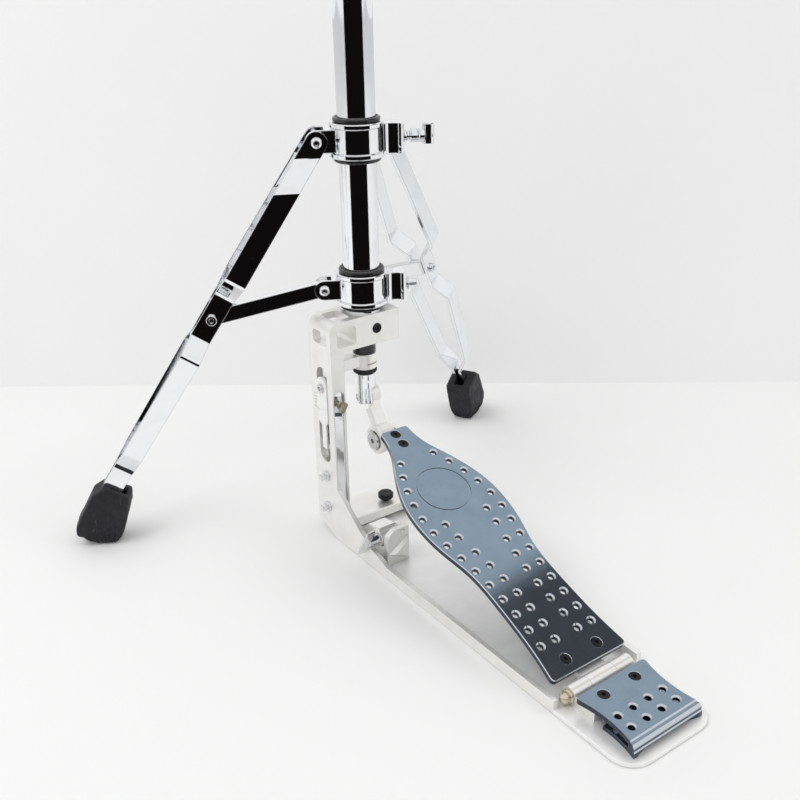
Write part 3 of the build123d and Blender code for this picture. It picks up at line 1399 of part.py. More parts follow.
def write_all():
    """Build every piece and write one file for each node."""
    leg_pieces = {
        "leg_straps": build_leg_straps(),
        "leg_screws": build_leg_screws(),
        "foot": build_foot(),
        "brace": build_brace(),
    }
    for name, piece in leg_pieces.items():
        save(piece, f"left_{name}")
        save(mirrored(piece), f"right_{name}")
    pieces = {
        "main_frame": build_frame(),
        "right_rail": build_right_rail(),
        "cross_bar": build_cross_bar(),
        "base_plate": build_base_plate(),
        "post_key_screws": build_post_key_screws(),
        "spring_cover": build_spring_cover(),
        "return_spring": build_spring(),
        "tension_slider": build_tension_slider(),
        "tension_slider_screw": build_tension_screw(),
        "tension_lock_screw": build_tension_lock(),
        "spur_screw": build_spur(),
        "toe_clamp_base": build_clamp_base(),
        "toe_clamp_rocker": build_clamp_rocker(),
        "toe_clamp_wing_screw": build_clamp_screw(),
        "heel_block": build_heel_block(),
        "heel_plate": build_heel_plate(),
        "hinge_axle": build_hinge_axle(),
        "footboard": build_footboard(),
        "footboard_knuckle": build_board_knuckle(),
        "toe_bracket": build_toe_bracket(),
        "hub_axle": build_hub_axle(),
        "drive_link": build_drive_link(),
        "hub_bearings": build_hub_bearings(),
        "coupling": build_coupling(),
        "link_pin": build_link_pin(),
        "drive_rod": build_drive_rod(),
        "pull_rod": build_pull_rod(),
        "carriage": build_carriage(),
        "rod_bumper": build_rod_bumper(),
        "guide_bush": build_guide_bush(),
        "base_tube": build_base_tube(),
        "tube_clamp_screw": build_tube_clamp_screw(),
        "upper_collar": build_collar(UPPER_COLLAR_Z, LEG_PIVOT_R, UPPER_EAR_GAP, 18.0),
        "lower_collar": build_collar(LOWER_COLLAR_Z, BRACE_PIVOT_R, LOWER_EAR_GAP, 17.0),
        "upper_collar_bushes": build_collar_bushes(UPPER_COLLAR_Z),
        "lower_collar_bushes": build_collar_bushes(LOWER_COLLAR_Z),
        "upper_collar_key_screw": build_collar_wing(),
        "lower_collar_screw": build_collar_screw(),
        "base_screws": build_base_screws(),
        "footboard_screws": build_board_screws(),
        "leg_pivot_pins": pivot_pins(LEG_PIVOT, EAR_GAP + STRAP_THICKNESS + 0.05),
        "brace_pivot_pins": pivot_pins(BRACE_PIVOT, LOWER_EAR_GAP + EAR_THICKNESS + 0.05),
        "height_clamp": build_height_clamp(),
        "height_wing_bolt": build_height_wing(),
        "upper_tube": build_upper_tube(),
        "seat_base": build_seat_base(),
        "seat_cup": build_seat_cup(),
        "seat_felt": build_seat_felt(),
        "clutch_body": build_clutch_body(),
        "clutch_wing_screw": build_clutch_wing(),
        "clutch_felts": build_clutch_felts(),
        "clutch_nuts": build_clutch_nuts(),
    }
    for name, piece in pieces.items():
        save(piece, name)


write_all()
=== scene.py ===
"""A two-legged hi-hat stand with a direct-drive pedal: looks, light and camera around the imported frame."""

import math

import bmesh
import bpy
from mathutils import Matrix, Vector, noise


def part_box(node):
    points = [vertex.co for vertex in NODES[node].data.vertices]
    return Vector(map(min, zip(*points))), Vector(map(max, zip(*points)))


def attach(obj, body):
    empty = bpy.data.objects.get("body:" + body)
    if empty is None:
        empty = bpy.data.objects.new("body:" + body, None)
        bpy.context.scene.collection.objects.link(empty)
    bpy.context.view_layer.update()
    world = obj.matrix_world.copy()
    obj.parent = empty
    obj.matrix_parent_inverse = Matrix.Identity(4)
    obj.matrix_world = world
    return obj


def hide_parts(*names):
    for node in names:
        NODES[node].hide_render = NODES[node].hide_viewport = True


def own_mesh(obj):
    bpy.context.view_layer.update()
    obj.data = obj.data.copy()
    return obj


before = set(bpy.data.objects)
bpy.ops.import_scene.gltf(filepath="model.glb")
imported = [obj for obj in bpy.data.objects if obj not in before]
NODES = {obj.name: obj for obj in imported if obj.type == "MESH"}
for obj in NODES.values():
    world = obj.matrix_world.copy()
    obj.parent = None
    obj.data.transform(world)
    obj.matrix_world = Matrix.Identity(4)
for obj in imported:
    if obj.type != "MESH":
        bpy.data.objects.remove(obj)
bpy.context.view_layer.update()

# leans of the two pedal plates, and the camera's angles
BOARD_LEAN = math.radians(20.44)
HEEL_LEAN = math.radians(2.94)
CAMERA_AZIMUTH = math.radians(-35.279)
CAMERA_ELEVATION = math.radians(25.140)
CAMERA_ROLL = math.radians(-1.096)
CAMERA_PLACE = Vector((-0.45811, -0.70166, 0.51831))
CAMERA_LENS = 45.164

# moulded feet: how far the rubber is lowered and slimmed, and the height of its rounded sole
FOOT_SQUAT, FOOT_SLIM, FOOT_ROUND = 0.83, 0.98, 0.018
FOOT_VOXEL = 0.0011
LEG_SPREAD = math.radians(61)
TREAD_NUBS = 24
TREAD_DEPTH = 0.0011

# felts, rubber ring and spring
FELT_CORNER, FELT_FUZZ = 0.0016, 0.0005
SEAT_FELT_BORE = 0.0084
CLUTCH_FELT_BORE, CLUTCH_FELT_THICK = 0.0065, 0.007
BUMPER_BORE, BUMPER_CORNER, BUMPER_FUZZ = 0.0041, 0.0014, 0.0001
COIL_RADIUS, WIRE_RADIUS, COIL_TURNS = 0.0036, 0.0007, 11
SLIDER_LIFT = 0.0048  # room for the tension slider's upper limit, inside the spring cover

# studio
FLOOR_Z, FLOOR_SPAN, WALL_HEIGHT = -0.0004, 6, 4
CARD_LIFT = 0.001
ROOM_NEAR, ROOM_FAR, ROOM_STEPS, ROOM_RISE = 0.52, 3.2, 12, 0.55
ROOM_START, ROOM_END = math.radians(-50), math.radians(58)
ROOM_SHADE, CEILING_SHADE = 0.004, 0.10
CEILING_Z = 1.5
WORLD_LIGHT, WORLD_REFLECTED = 0.74, 0.90


# ---- material helpers ----
class Shader:
    """A Principled material with short calls for the nodes it is built from."""

    def __init__(self, name):
        self.material = bpy.data.materials.new(name)
        self.material.use_nodes = True
        self.tree = self.material.node_tree
        self.bsdf = self.tree.nodes["Principled BSDF"]
        self.coords = self.node("ShaderNodeTexCoord")

    def node(self, kind, **settings):
        made = self.tree.nodes.new(kind)
        for key, value in settings.items():
            setattr(made, key, value)
        return made

    def link(self, source, target):
        self.tree.links.new(source, target)

    def put(self, socket, value):
        """Links a socket to another, or sets its value."""
        if isinstance(value, bpy.types.NodeSocket):
            self.link(value, socket)
        else:
            socket.default_value = value

    def scaled(self, scale, turn=(0, 0, 0)):
        """Object coordinates, turned and stretched: scale is one number or three."""
        mapping = self.node("ShaderNodeMapping")
        self.link(self.coords.outputs["Object"], mapping.inputs["Vector"])
        mapping.inputs["Rotation"].default_value = turn
        mapping.inputs["Scale"].default_value = (scale,) * 3 if isinstance(scale, (int, float)) else scale
        return mapping.outputs["Vector"]

    def noise(self, scale, detail=3.0, rough=0.55, turn=(0, 0, 0)):
        texture = self.node("ShaderNodeTexNoise")
        texture.inputs["Scale"].default_value = 1.0
        texture.inputs["Detail"].default_value = detail
        texture.inputs["Roughness"].default_value = rough
        self.link(self.scaled(scale, turn), texture.inputs["Vector"])
        return texture.outputs["Fac"]

    def spread(self, value, low, high, to_low=0.0, to_high=1.0):
        """Maps a value from low..high to to_low..to_high, clamped."""
        ranged = self.node("ShaderNodeMapRange")
        self.put(ranged.inputs["Value"], value)
        for key, number in (("From Min", low), ("From Max", high), ("To Min", to_low), ("To Max", to_high)):
            ranged.inputs[key].default_value = number
        return ranged.outputs["Result"]

    def maths(self, operation, a, b=0.0):
        made = self.node("ShaderNodeMath", operation=operation)
        self.put(made.inputs[0], a)
        self.put(made.inputs[1], b)
        return made.outputs[0]

    def mix(self, factor, a, b):
        """A colour between a and b."""
        made = self.node("ShaderNodeMix", data_type="RGBA")
        self.put(made.inputs["Factor"], factor)
        for index, colour in ((6, a), (7, b)):
            self.put(made.inputs[index], (*colour, 1) if isinstance(colour, tuple) else colour)
        return made.outputs[2]

    def rounded(self, radius):
        """A normal rounded over edges, and a mask that is 1 on the edges."""
        bevel = self.node("ShaderNodeBevel", samples=4)
        bevel.inputs["Radius"].default_value = radius
        geometry = self.node("ShaderNodeNewGeometry")
        dot = self.node("ShaderNodeVectorMath", operation="DOT_PRODUCT")
        self.link(bevel.outputs["Normal"], dot.inputs[0])
        self.link(geometry.outputs["Normal"], dot.inputs[1])
        return bevel.outputs["Normal"], self.spread(dot.outputs["Value"], 0.995, 0.90)

    def bump(self, height, strength, distance, normal=None):
        made = self.node("ShaderNodeBump")
        made.inputs["Strength"].default_value = strength
        made.inputs["Distance"].default_value = distance
        self.link(height, made.inputs["Height"])
        if normal is not None:
            self.link(normal, made.inputs["Normal"])
        return made.outputs["Normal"]

    def bent(self, normal, start, end, lift):
        """A normal tipped upwards between two heights, as on a strap with a bend in it."""
        split = self.node("ShaderNodeSeparateXYZ")
        self.link(self.coords.outputs["Object"], split.inputs[0])
        tip = self.node("ShaderNodeCombineXYZ")
        above = self.spread(split.outputs["Z"], start, start + 0.001)
        below = self.spread(split.outputs["Z"], end, end - 0.001, 0.0, lift)
        self.link(self.maths("MULTIPLY", above, below), tip.inputs["Z"])
        total = self.node("ShaderNodeVectorMath", operation="ADD")
        self.link(normal, total.inputs[0])
        self.link(tip.outputs[0], total.inputs[1])
        unit = self.node("ShaderNodeVectorMath", operation="NORMALIZE")
        self.link(total.outputs[0], unit.inputs[0])
        return unit.outputs[0]

    def finish(self, colour, rough, metal, normal=None, **more):
        self.put(self.bsdf.inputs["Base Color"], (*colour, 1) if isinstance(colour, tuple) else colour)
        self.put(self.bsdf.inputs["Roughness"], rough)
        self.put(self.bsdf.inputs["Metallic"], metal)
        if normal is not None:
            self.link(normal, self.bsdf.inputs["Normal"])
        for key, value in more.items():
            self.put(self.bsdf.inputs[key.replace("_", " ")], value)
        return self.material


def chrome(name, tint, low, high, wear=0.35, bend=None):
    """Polished plating: faint smears, hairline scratches, and edges darkened with a painted reflection of
    the dark room.
    """
    s = Shader(name)
    normal, edge = s.rounded(0.0007)
    smear = s.noise(45, 5, 0.6)
    fleck = s.spread(s.noise((900, 900, 160), 2, 0.5), 0.62, 0.78)
    rough = s.maths("ADD", s.spread(smear, 0.35, 0.75, low, high), s.maths("MULTIPLY", edge, wear * 0.3))
    rough = s.maths("ADD", rough, s.maths("MULTIPLY", fleck, 0.03))
    colour = s.mix(s.spread(smear, 0.5, 0.8), tint, tuple(c * 0.9 for c in tint))
    # painted reflection: the edge mask darkens the colour towards near black, as if the edges mirrored the
    # dark room
    colour = s.mix(s.maths("MULTIPLY", edge, 0.72), colour, (0.10, 0.10, 0.11))
    height = s.maths("ADD", s.noise((2200, 2200, 300), 2, 0.5), s.noise(60, 2, 0.4))
    normal = s.bump(height, 0.035, 0.0002, normal)
    if bend is not None:
        normal = s.bent(normal, *bend)
    return s.finish(colour, rough, 1.0, normal)


def machined(name, tint, low, high, grain, grain_bump=0.05, metal=0.92):
    """Satin metal: fine directional grain, mottling, soiled patches and rubbed, brighter edges."""
    s = Shader(name)
    normal, edge = s.rounded(0.0005)
    lines = s.noise(grain, 3, 0.6)
    mottle = s.noise(70, 4, 0.6)
    soil = s.spread(s.noise(26, 5, 0.65), 0.55, 0.75)
    worn = s.mix(s.spread(mottle, 0.3, 0.7), tuple(c * 0.93 for c in tint), tint)
    worn = s.mix(s.maths("MULTIPLY", soil, 0.22), worn, tuple(c * 0.72 for c in tint))
    colour = s.mix(s.maths("MULTIPLY", edge, 0.5), worn, tuple(min(1.0, c * 1.10) for c in tint))
    rough = s.maths("ADD", s.spread(mottle, 0.3, 0.7, low, high), s.maths("MULTIPLY", edge, -0.08))
    rough = s.maths("ADD", rough, s.spread(lines, 0.3, 0.7, -0.01, 0.01))
    height = s.maths("ADD", lines, s.maths("MULTIPLY", s.noise(1800, 2, 0.5), 0.3))
    return s.finish(colour, rough, metal, s.bump(height, grain_bump, 0.0002, normal))


def anodised(name, lean, low, high):
    """Blue-grey anodised plate: blue dye on the polished faces, painted shade that darkens the side walls,
    hole bores and undersides, and bright countersinks and chamfers.
    """
    s = Shader(name)
    normal, edge = s.rounded(0.0003)
    face = s.node("ShaderNodeVectorMath", operation="DOT_PRODUCT")
    s.link(s.coords.outputs["Normal"], face.inputs[0])
    face.inputs[1].default_value = (0, -math.sin(lean), math.cos(lean))
    upward = face.outputs["Value"]
    cut = s.maths("MULTIPLY", s.spread(upward, 0.82, 0.77), s.spread(upward, 0.60, 0.65))
    # mask of faces turned away from the plate's top (side walls, hole bores, undersides), used for painted
    # shade
    wall_shade = s.spread(upward, 0.30, 0.20)
    cloud = s.noise(55, 4, 0.6)
    dye_and_shade = s.mix(s.spread(cloud, 0.3, 0.7), (0.235, 0.315, 0.395), (0.275, 0.355, 0.44))
    dye_and_shade = s.mix(s.spread(s.noise(2600, 2, 0.5), 0.5, 0.8, 0, 0.25), dye_and_shade, (0.40, 0.47, 0.55))
    scratch = s.spread(s.noise((2400, 70, 2400), 3, 0.6, (0, 0, 0.6)), 0.70, 0.76)
    dye_and_shade = s.mix(s.maths("MULTIPLY", scratch, 0.3), dye_and_shade, (0.52, 0.58, 0.64))
    # painted shade: the side walls, hole bores and undersides are darkened almost to black
    dye_and_shade = s.mix(s.maths("MULTIPLY", wall_shade, 0.9), dye_and_shade, (0.03, 0.04, 0.055))
    colour = s.mix(s.maths("MAXIMUM", cut, s.maths("MULTIPLY", edge, 0.5)), dye_and_shade, (0.62, 0.66, 0.70))
    rough = s.maths("ADD", s.spread(cloud, 0.3, 0.7, low, high), s.maths("MULTIPLY", cut, 0.02))
    return s.finish(colour, rough, 0.95, s.bump(s.noise(3200, 2, 0.5), 0.05, 0.0002, normal))


def black_metal(name):
    """Black-oxide screw heads, rubbed on their rims."""
    s = Shader(name)
    normal, edge = s.rounded(0.0002)
    cloud = s.noise(400, 3, 0.6)
    colour = s.mix(s.spread(cloud, 0.3, 0.7), (0.012, 0.012, 0.014), (0.035, 0.035, 0.038))
    colour = s.mix(s.maths("MULTIPLY", edge, 0.35), colour, (0.30, 0.30, 0.31))
    rough = s.spread(cloud, 0.3, 0.7, 0.3, 0.5)
    return s.finish(colour, rough, 0.8, s.bump(s.noise(3000, 2), 0.1, 0.0001, normal))


def rubber(name):
    """Moulded black rubber with a fine grain, dusty patches and scuffed spots."""
    s = Shader(name)
    cloud = s.noise(90, 5, 0.65)
    dust = s.spread(s.noise(38, 6, 0.7), 0.52, 0.74)
    scuff = s.spread(s.noise((300, 300, 90), 4, 0.7), 0.60, 0.72)
    colour = s.mix(s.spread(cloud, 0.3, 0.7), (0.006, 0.006, 0.009), (0.016, 0.016, 0.021))
    colour = s.mix(s.maths("MULTIPLY", dust, 0.22), colour, (0.10, 0.10, 0.10))
    colour = s.mix(s.maths("MULTIPLY", scuff, 0.30), colour, (0.16, 0.16, 0.17))
    grain = s.maths("ADD", s.noise(1500, 3, 0.6), s.maths("MULTIPLY", cloud, 1.5))
    rough = s.spread(cloud, 0.3, 0.7, 0.48, 0.72)
    return s.finish(colour, rough, 0.0, s.bump(grain, 0.35, 0.0004), Specular_IOR_Level=0.35)


def plastic(name):
    """Black moulded plastic with a soft sheen."""
    s = Shader(name)
    normal, edge = s.rounded(0.0004)
    cloud = s.noise(220, 4, 0.6)
    colour = s.mix(s.spread(cloud, 0.3, 0.7), (0.010, 0.010, 0.011), (0.022, 0.022, 0.024))
    colour = s.mix(s.maths("MULTIPLY", edge, 0.25), colour, (0.10, 0.10, 0.10))
    rough = s.spread(cloud, 0.3, 0.7, 0.10, 0.20)
    return s.finish(colour, rough, 0.0, s.bump(s.noise(1600, 2), 0.06, 0.0002, normal))


def felt(name):
    """Pressed grey felt with loose fibres."""
    s = Shader(name)
    fibre = s.noise((2600, 700, 1200), 6, 0.75, (0.4, 0.3, 0.2))
    cross = s.noise((800, 2600, 1300), 6, 0.75, (0.2, 0.5, 0.9))
    both = s.maths("ADD", fibre, cross)
    colour = s.mix(s.spread(both, 0.75, 1.25), (0.20, 0.195, 0.185), (0.50, 0.49, 0.465))
    colour = s.mix(s.spread(s.noise(120, 4), 0.4, 0.7, 0, 0.3), colour, (0.28, 0.27, 0.26))
    return s.finish(colour, 0.95, 0.0, s.bump(both, 0.9, 0.0009), Sheen_Weight=0.4)


# ---- which CAD node wears which look ----
LOOKS = {
    "chrome": chrome("polished_chrome", (0.90, 0.91, 0.93), 0.015, 0.05),
    "strap": chrome("strap_chrome", (0.90, 0.91, 0.93), 0.015, 0.05, bend=(0.323, 0.352, 0.14)),
    "chrome_soft": chrome("worn_chrome", (0.84, 0.85, 0.87), 0.05, 0.12),
    "cast": machined("satin_aluminium", (0.93, 0.92, 0.89), 0.30, 0.34, (500, 60, 60), 0.02, 0.65),
    "plate": machined("brushed_aluminium", (0.95, 0.95, 0.94), 0.28, 0.38, (2600, 60, 1200), 0.03, 0.35),
    "steel": machined("turned_steel", (0.66, 0.66, 0.67), 0.14, 0.26, (300, 300, 3000)),
    "brass": machined("tarnished_brass", (0.72, 0.64, 0.50), 0.16, 0.30, (600, 600, 1800)),
    "bronze": machined("dark_bronze", (0.42, 0.36, 0.27), 0.16, 0.28, (600, 600, 1800)),
    "board": anodised("anodised_board", BOARD_LEAN, 0.05, 0.08),
    "heel": anodised("anodised_heel", HEEL_LEAN, 0.24, 0.32),
    "black": black_metal("black_oxide"),
    "rubber": rubber("moulded_rubber"),
    "plastic": plastic("black_plastic"),
    "felt": felt("pressed_felt"),
}
WEARS = {
    "cast": (
        "main_frame right_rail cross_bar heel_block toe_clamp_base toe_clamp_rocker footboard_knuckle "
        "toe_bracket drive_link carriage"
    ),
    "plate": "base_plate tension_slider",
    "board": "footboard",
    "heel": "heel_plate",
    "chrome": (
        "base_tube upper_tube upper_collar lower_collar right_leg_straps left_brace "
        "right_brace height_clamp pull_rod coupling spring_cover seat_base seat_cup clutch_body clutch_nuts"
    ),
    "strap": "left_leg_straps",
    "chrome_soft": (
        "upper_collar_key_screw lower_collar_screw leg_pivot_pins brace_pivot_pins left_leg_screws "
        "right_leg_screws height_wing_bolt clutch_wing_screw toe_clamp_wing_screw post_key_screws"
    ),
    "steel": "hub_axle hub_bearings link_pin drive_rod return_spring tension_slider_screw",
    "brass": "hinge_axle",
    "bronze": "tension_lock_screw",
    "black": "base_screws footboard_screws tube_clamp_screw spur_screw",
    "rubber": "left_foot right_foot rod_bumper",
    "plastic": "upper_collar_bushes lower_collar_bushes guide_bush",
    "felt": "seat_felt clutch_felts",
}
for look, names in WEARS.items():
    for name in names.split():
        NODES[name].data.materials.clear()
        NODES[name].data.materials.append(LOOKS[look])


# ---- pieces that stand for soft CAD solids ----
def new_object(name, mesh, look, body, stands_for):
    """Adds a piece in its place, on its body, standing for its CAD node."""
    mesh.materials.clear()
    mesh.materials.append(LOOKS[look])
    piece = bpy.data.objects.new(name, mesh)
    bpy.context.scene.collection.objects.link(piece)
    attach(piece, body)
    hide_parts(*stands_for)
    return piece


def smooth(mesh):
    """Shades every face of a mesh smoothly."""
    for face in mesh.polygons:
        face.use_smooth = True


def remeshed(node, voxel, rounds):
    """A copy of a CAD node's mesh as an even, softened skin."""
    work = bpy.data.objects.new(node + "_work", NODES[node].data.copy())
    bpy.context.scene.collection.objects.link(work)
    skin = work.modifiers.new("skin", "REMESH")
    skin.mode = "VOXEL"
    skin.voxel_size = voxel
    soft = work.modifiers.new("soft", "SMOOTH")
    soft.iterations = rounds
    soft.factor = 0.5
    evaluated = work.evaluated_get(bpy.context.evaluated_depsgraph_get())
    mesh = bpy.data.meshes.new_from_object(evaluated)
    bpy.data.objects.remove(work)
    return mesh


def foot(side):
    """A moulded rubber foot: squat, softened, with nubs round the sole and shallow side panels."""
    node = side + "_foot"
    mesh = remeshed(node, FOOT_VOXEL, 5)
    low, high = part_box(node)
    middle = (low + high) / 2
    sign = -1 if side == "left" else 1
    out = Vector((sign * math.sin(LEG_SPREAD), math.cos(LEG_SPREAD), 0))
    across = Vector((out.y, -out.x, 0))
    mesh.update()
    normals = [Vector(v.normal) for v in mesh.vertices]
    for vertex, normal in zip(mesh.vertices, normals):
        co = vertex.co
        side_way = (co - middle).dot(across)
        height = co.z - low.z
        outer = abs(side_way) > 0.0115 or height < 0.05
        if not outer:
            continue
        lump = noise.noise(co * 90) * 0.0006 + noise.noise(co * 260) * 0.00025
        turn = math.atan2((co - middle).dot(out), side_way)
        tread = math.cos(turn * TREAD_NUBS) * math.exp(-((height - 0.009) / 0.006) ** 2)
        panel = 0.0
        if abs(normal.dot(across)) > 0.7:
            along = (height - 0.030) / 0.014
            wide = (co - middle).dot(out) / 0.012 + along * 0.35
            ring = math.sqrt(along * along + wide * wide)
            panel = 0.0007 * max(0.0, 1 - abs(ring - 0.85) / 0.18)
        vertex.co = co + normal * (lump - TREAD_DEPTH * tread - panel)
    for vertex in mesh.vertices:
        height = max(0.0, vertex.co.z - low.z) * FOOT_SQUAT
        pinch = FOOT_SLIM * (1 - 0.24 * max(0.0, 1 - height / FOOT_ROUND) ** 2)
        vertex.co.x = middle.x + (vertex.co.x - middle.x) * pinch
        vertex.co.y = middle.y + (vertex.co.y - middle.y) * pinch
        vertex.co.z = low.z + height
    smooth(mesh)
    return new_object(side + "_foot_rubber", mesh, "rubber", side + "_leg", [node])


def ring_mesh(bottom, top, inner, outer, soft, fuzz, seed):
    """A soft ring about the Z axis with rounded edges and a slightly uneven skin."""
    around, corner = 160, 6
    middle = (bottom + top) / 2
    profile = []
    for cx, cz, start in ((outer, top, 0), (inner, top, 90), (inner, bottom, 180), (outer, bottom, 270)):
        x = cx - soft if cx == outer else cx + soft
        z = cz - soft if cz == top else cz + soft
        for step in range(corner + 1):
            angle = math.radians(start + 90 * step / corner)
            profile.append((x + soft * math.cos(angle), z + soft * math.sin(angle)))
    dense = []
    for index, here in enumerate(profile):
        there = profile[(index + 1) % len(profile)]
        gap = math.dist(here, there)
        steps = max(1, round(gap / 0.0012))
        dense += [
            (here[0] + (there[0] - here[0]) * k / steps, here[1] + (there[1] - here[1]) * k / steps)
            for k in range(steps)
        ]
    made = bmesh.new()
    rings = []
    for i in range(around):
        angle = 2 * math.pi * i / around
        row = []
        for radius, z in dense:
            point = Vector((radius * math.cos(angle), radius * math.sin(angle), z))
            away = Vector((math.cos(angle), math.sin(angle), 0)) * (radius - (inner + outer) / 2)
            away = (away + Vector((0, 0, z - middle))).normalized()
            shift = noise.noise(point * 900 + Vector((seed, 0, 0))) * fuzz - 0.6 * fuzz
            row.append(made.verts.new(point + away * shift))
        rings.append(row)
    for i in range(around):
        for j in range(len(dense)):
            a, b = rings[i], rings[(i + 1) % around]
            k = (j + 1) % len(dense)
            made.faces.new((a[j], b[j], b[k], a[k]))
    bmesh.ops.recalc_face_normals(made, faces=made.faces)
    mesh = bpy.data.meshes.new("ring")
    made.to_mesh(mesh)
    made.free()
    smooth(mesh)
    return mesh


def joined(meshes):
    """Several meshes as one."""
    made = bmesh.new()
    for mesh in meshes:
        made.from_mesh(mesh)
    whole = bpy.data.meshes.new("joined")
    made.to_mesh(whole)
    made.free()
    smooth(whole)
    return whole


def coil(centre, radius, wire, bottom, top, turns):
    """A compression spring of round wire with closed, flattened ends."""
    steps, sides = 30 * turns, 10
    made = bmesh.new()
    rows = []
    for i in range(steps + 1):
        t = i / steps
        ease = min(1.0, t * turns, (1 - t) * turns)
        angle = 2 * math.pi * turns * t
        settled = t + 0.02 * (ease - 1) * (1 if t < 0.5 else -1)
        rise = bottom + wire + (top - bottom - 2 * wire) * settled
        out = Vector((math.cos(angle), math.sin(angle), 0))
        row = []
        for k in range(sides):
            around = 2 * math.pi * k / sides
            lift = Vector((0, 0, rise + wire * math.sin(around)))
            offset = out * (radius + wire * math.cos(around)) + lift
            row.append(made.verts.new(Vector((centre[0], centre[1], 0)) + offset))
        rows.append(row)
    for a, b in zip(rows, rows[1:]):
        for k in range(sides):
            made.faces.new((a[k], b[k], b[(k + 1) % sides], a[(k + 1) % sides]))
    made.faces.new(rows[0])
    made.faces.new(list(reversed(rows[-1])))
    bmesh.ops.recalc_face_normals(made, faces=made.faces)
    mesh = bpy.data.meshes.new("coil")
    made.to_mesh(mesh)
    made.free()
    smooth(mesh)
    return mesh


for side in ("left", "right"):
    foot(side)

low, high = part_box("seat_felt")
new_object(
    "seat_felt_ring", ring_mesh(low.z, high.z, SEAT_FELT_BORE, high.x, FELT_CORNER, FELT_FUZZ, 1.0),
    "felt", "seat", ["seat_felt"],
)
low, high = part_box("clutch_felts")
new_object(
    "clutch_felt_rings",
    joined([
        ring_mesh(
            bottom, bottom + CLUTCH_FELT_THICK, CLUTCH_FELT_BORE, high.x, FELT_CORNER, FELT_FUZZ, seed
        )
        for bottom, seed in ((low.z, 2.0), (high.z - CLUTCH_FELT_THICK, 3.0))
    ]),
    "felt", "clutch", ["clutch_felts"],
)
low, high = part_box("rod_bumper")
new_object(
    "rod_bumper_ring", ring_mesh(low.z, high.z, BUMPER_BORE, high.x, BUMPER_CORNER, BUMPER_FUZZ, 4.0),
    "rubber", "rod", ["rod_bumper"],
)
low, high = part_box("return_spring")
spring_middle = (low + high) / 2
spring = new_object(
    "return_coil",
    coil(spring_middle, COIL_RADIUS, WIRE_RADIUS, low.z, high.z - SLIDER_LIFT, COIL_TURNS),
    "steel", "tension", ["return_spring"],
)
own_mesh(spring)


# ---- studio ----
def paper(name, colour, grain, see_through_behind=False):
    """Matt pale paper, which can be looked through from behind."""
    s = Shader(name)
    shade = s.mix(s.spread(s.noise(3, 3), 0.3, 0.7), tuple(c * 0.985 for c in colour), colour)
    material = s.finish(shade, 0.6, 0.0, s.bump(s.noise(grain, 3), 0.03, 0.0006), Specular_IOR_Level=0.0)
    if see_through_behind:
        both = s.node("ShaderNodeMixShader")
        s.link(s.node("ShaderNodeNewGeometry").outputs["Backfacing"], both.inputs[0])
        s.link(s.bsdf.outputs[0], both.inputs[1])
        s.link(s.node("ShaderNodeBsdfTransparent").outputs[0], both.inputs[2])
        s.link(both.outputs[0], s.tree.nodes["Material Output"].inputs["Surface"])
    return material


def sheet(name, corners, material):
    """A flat stage piece between its corners."""
    mesh = bpy.data.meshes.new(name)
    mesh.from_pydata(corners, [], [tuple(range(len(corners)))])
    mesh.materials.append(material)
    made = bpy.data.objects.new(name, mesh)
    bpy.context.scene.collection.objects.link(made)
    return made


def reflected_card(name, corners, shade):
    """A part of the room that only shows as a reflection in polished metal."""
    material = bpy.data.materials.new(name)
    material.use_nodes = True
    tree = material.node_tree
    glow = tree.nodes.new("ShaderNodeEmission")
    glow.inputs["Color"].default_value = (shade * 1.2, shade, shade * 0.95, 1)
    tree.links.new(glow.outputs[0], tree.nodes["Material Output"].inputs["Surface"])
    card = sheet(name, corners, material)
    card.visible_camera = False
    card.visible_diffuse = False
    card.visible_shadow = False
    return card


ground = [(x * FLOOR_SPAN, y * FLOOR_SPAN, FLOOR_Z) for x, y in ((-1, -1), (1, -1), (1, 1), (-1, 1))]
sheet("floor", ground, paper("floor_paper", (0.865, 0.865, 0.86), 220))
wall_ends = [Vector((-2.6, 2.36, 0)), Vector((2.8, -1.72, 0))]
rise = Vector((0, 0, WALL_HEIGHT))
backdrop = sheet(
    "backdrop", [*wall_ends, wall_ends[1] + rise, wall_ends[0] + rise],
    paper("wall_paper", (0.94, 0.94, 0.94), 220, see_through_behind=True),
)
backdrop.visible_glossy = False

# a dark part of the room on the camera's side, low down, and a darker patch of ceiling on the right
towards = Vector((math.sin(CAMERA_AZIMUTH), -math.cos(CAMERA_AZIMUTH), 0))
sideways = Vector((-towards.y, towards.x, 0))
turns = [ROOM_START + (ROOM_END - ROOM_START) * step / ROOM_STEPS for step in range(ROOM_STEPS + 1)]
arc = [towards * math.cos(turn) + sideways * math.sin(turn) for turn in turns]
above_floor = Vector((0, 0, CARD_LIFT))
near_edge = [a * ROOM_NEAR + above_floor for a in arc]
far_edge = [a * ROOM_FAR + above_floor for a in reversed(arc)]
reflected_card("dark_room", near_edge + far_edge, ROOM_SHADE)
wall_rise = Vector((0, 0, ROOM_RISE))
for step in range(ROOM_STEPS):
    ends = [arc[step] * ROOM_FAR, arc[step + 1] * ROOM_FAR]
    reflected_card(f"dark_wall_{step}", [*ends, ends[1] + wall_rise, ends[0] + wall_rise], ROOM_SHADE)
ceiling_corners = ((0.80, -0.6), (1.45, -0.6), (1.45, -0.023), (0.80, -0.097))
reflected_card("dark_ceiling", [(x, y, CEILING_Z) for x, y in ceiling_corners], CEILING_SHADE)

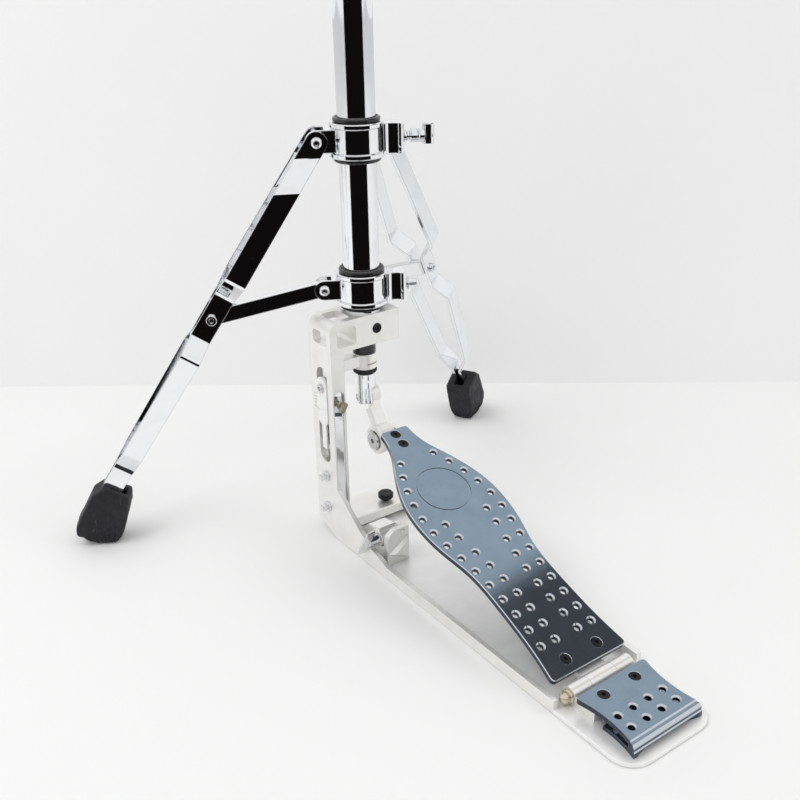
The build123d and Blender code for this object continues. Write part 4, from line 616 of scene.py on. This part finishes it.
world = bpy.data.worlds.new("studio")
world.use_nodes = True
sky = world.node_tree
sky_background = sky.nodes["Background"]
rays = sky.nodes.new("ShaderNodeLightPath")
brightness = sky.nodes.new("ShaderNodeMapRange")
brightness.inputs["To Min"].default_value = WORLD_LIGHT
brightness.inputs["To Max"].default_value = WORLD_REFLECTED
sky.links.new(rays.outputs["Is Glossy Ray"], brightness.inputs["Value"])
sky.links.new(brightness.outputs["Result"], sky_background.inputs["Strength"])
sky_background.inputs["Color"].default_value = (1.0, 1.0, 1.0, 1)
bpy.context.scene.world = world


def soft_light(name, place, aim, size, power):
    """A square area light that polished metal doesn't reflect."""
    lamp = bpy.data.lights.new(name, "AREA")
    lamp.energy = power
    lamp.size = size
    made = bpy.data.objects.new(name, lamp)
    bpy.context.scene.collection.objects.link(made)
    made.location = place
    made.rotation_euler = (Vector(aim) - Vector(place)).to_track_quat("-Z", "Y").to_euler()
    made.visible_glossy = False
    return made


soft_light("softbox", (-1.3, 0.2, 2.1), (0, 0, 0.15), 1.4, 16)
soft_light("fill", (1.6, -1.5, 1.9), (0, -0.1, 0.15), 1.4, 12)

# ---- camera, at the photograph's viewing angle ----
flat = math.cos(CAMERA_ELEVATION)
back = Vector((
    math.sin(CAMERA_AZIMUTH) * flat, -math.cos(CAMERA_AZIMUTH) * flat, math.sin(CAMERA_ELEVATION),
))
level = Vector((math.cos(CAMERA_AZIMUTH), math.sin(CAMERA_AZIMUTH), 0))
upright = back.cross(level)
right = level * math.cos(CAMERA_ROLL) + upright * math.sin(CAMERA_ROLL)
up = upright * math.cos(CAMERA_ROLL) - level * math.sin(CAMERA_ROLL)
lens = bpy.data.cameras.new("camera")
lens.sensor_width = 36
lens.lens = CAMERA_LENS
lens.clip_start = 0.01
camera = bpy.data.objects.new("camera", lens)
bpy.context.scene.collection.objects.link(camera)
camera.matrix_world = Matrix((
    (right.x, up.x, back.x, CAMERA_PLACE.x),
    (right.y, up.y, back.y, CAMERA_PLACE.y),
    (right.z, up.z, back.z, CAMERA_PLACE.z),
    (0, 0, 0, 1),
))
bpy.context.scene.camera = camera
bpy.context.scene.view_settings.view_transform = "Standard"
bpy.context.scene.view_settings.exposure = 0.0
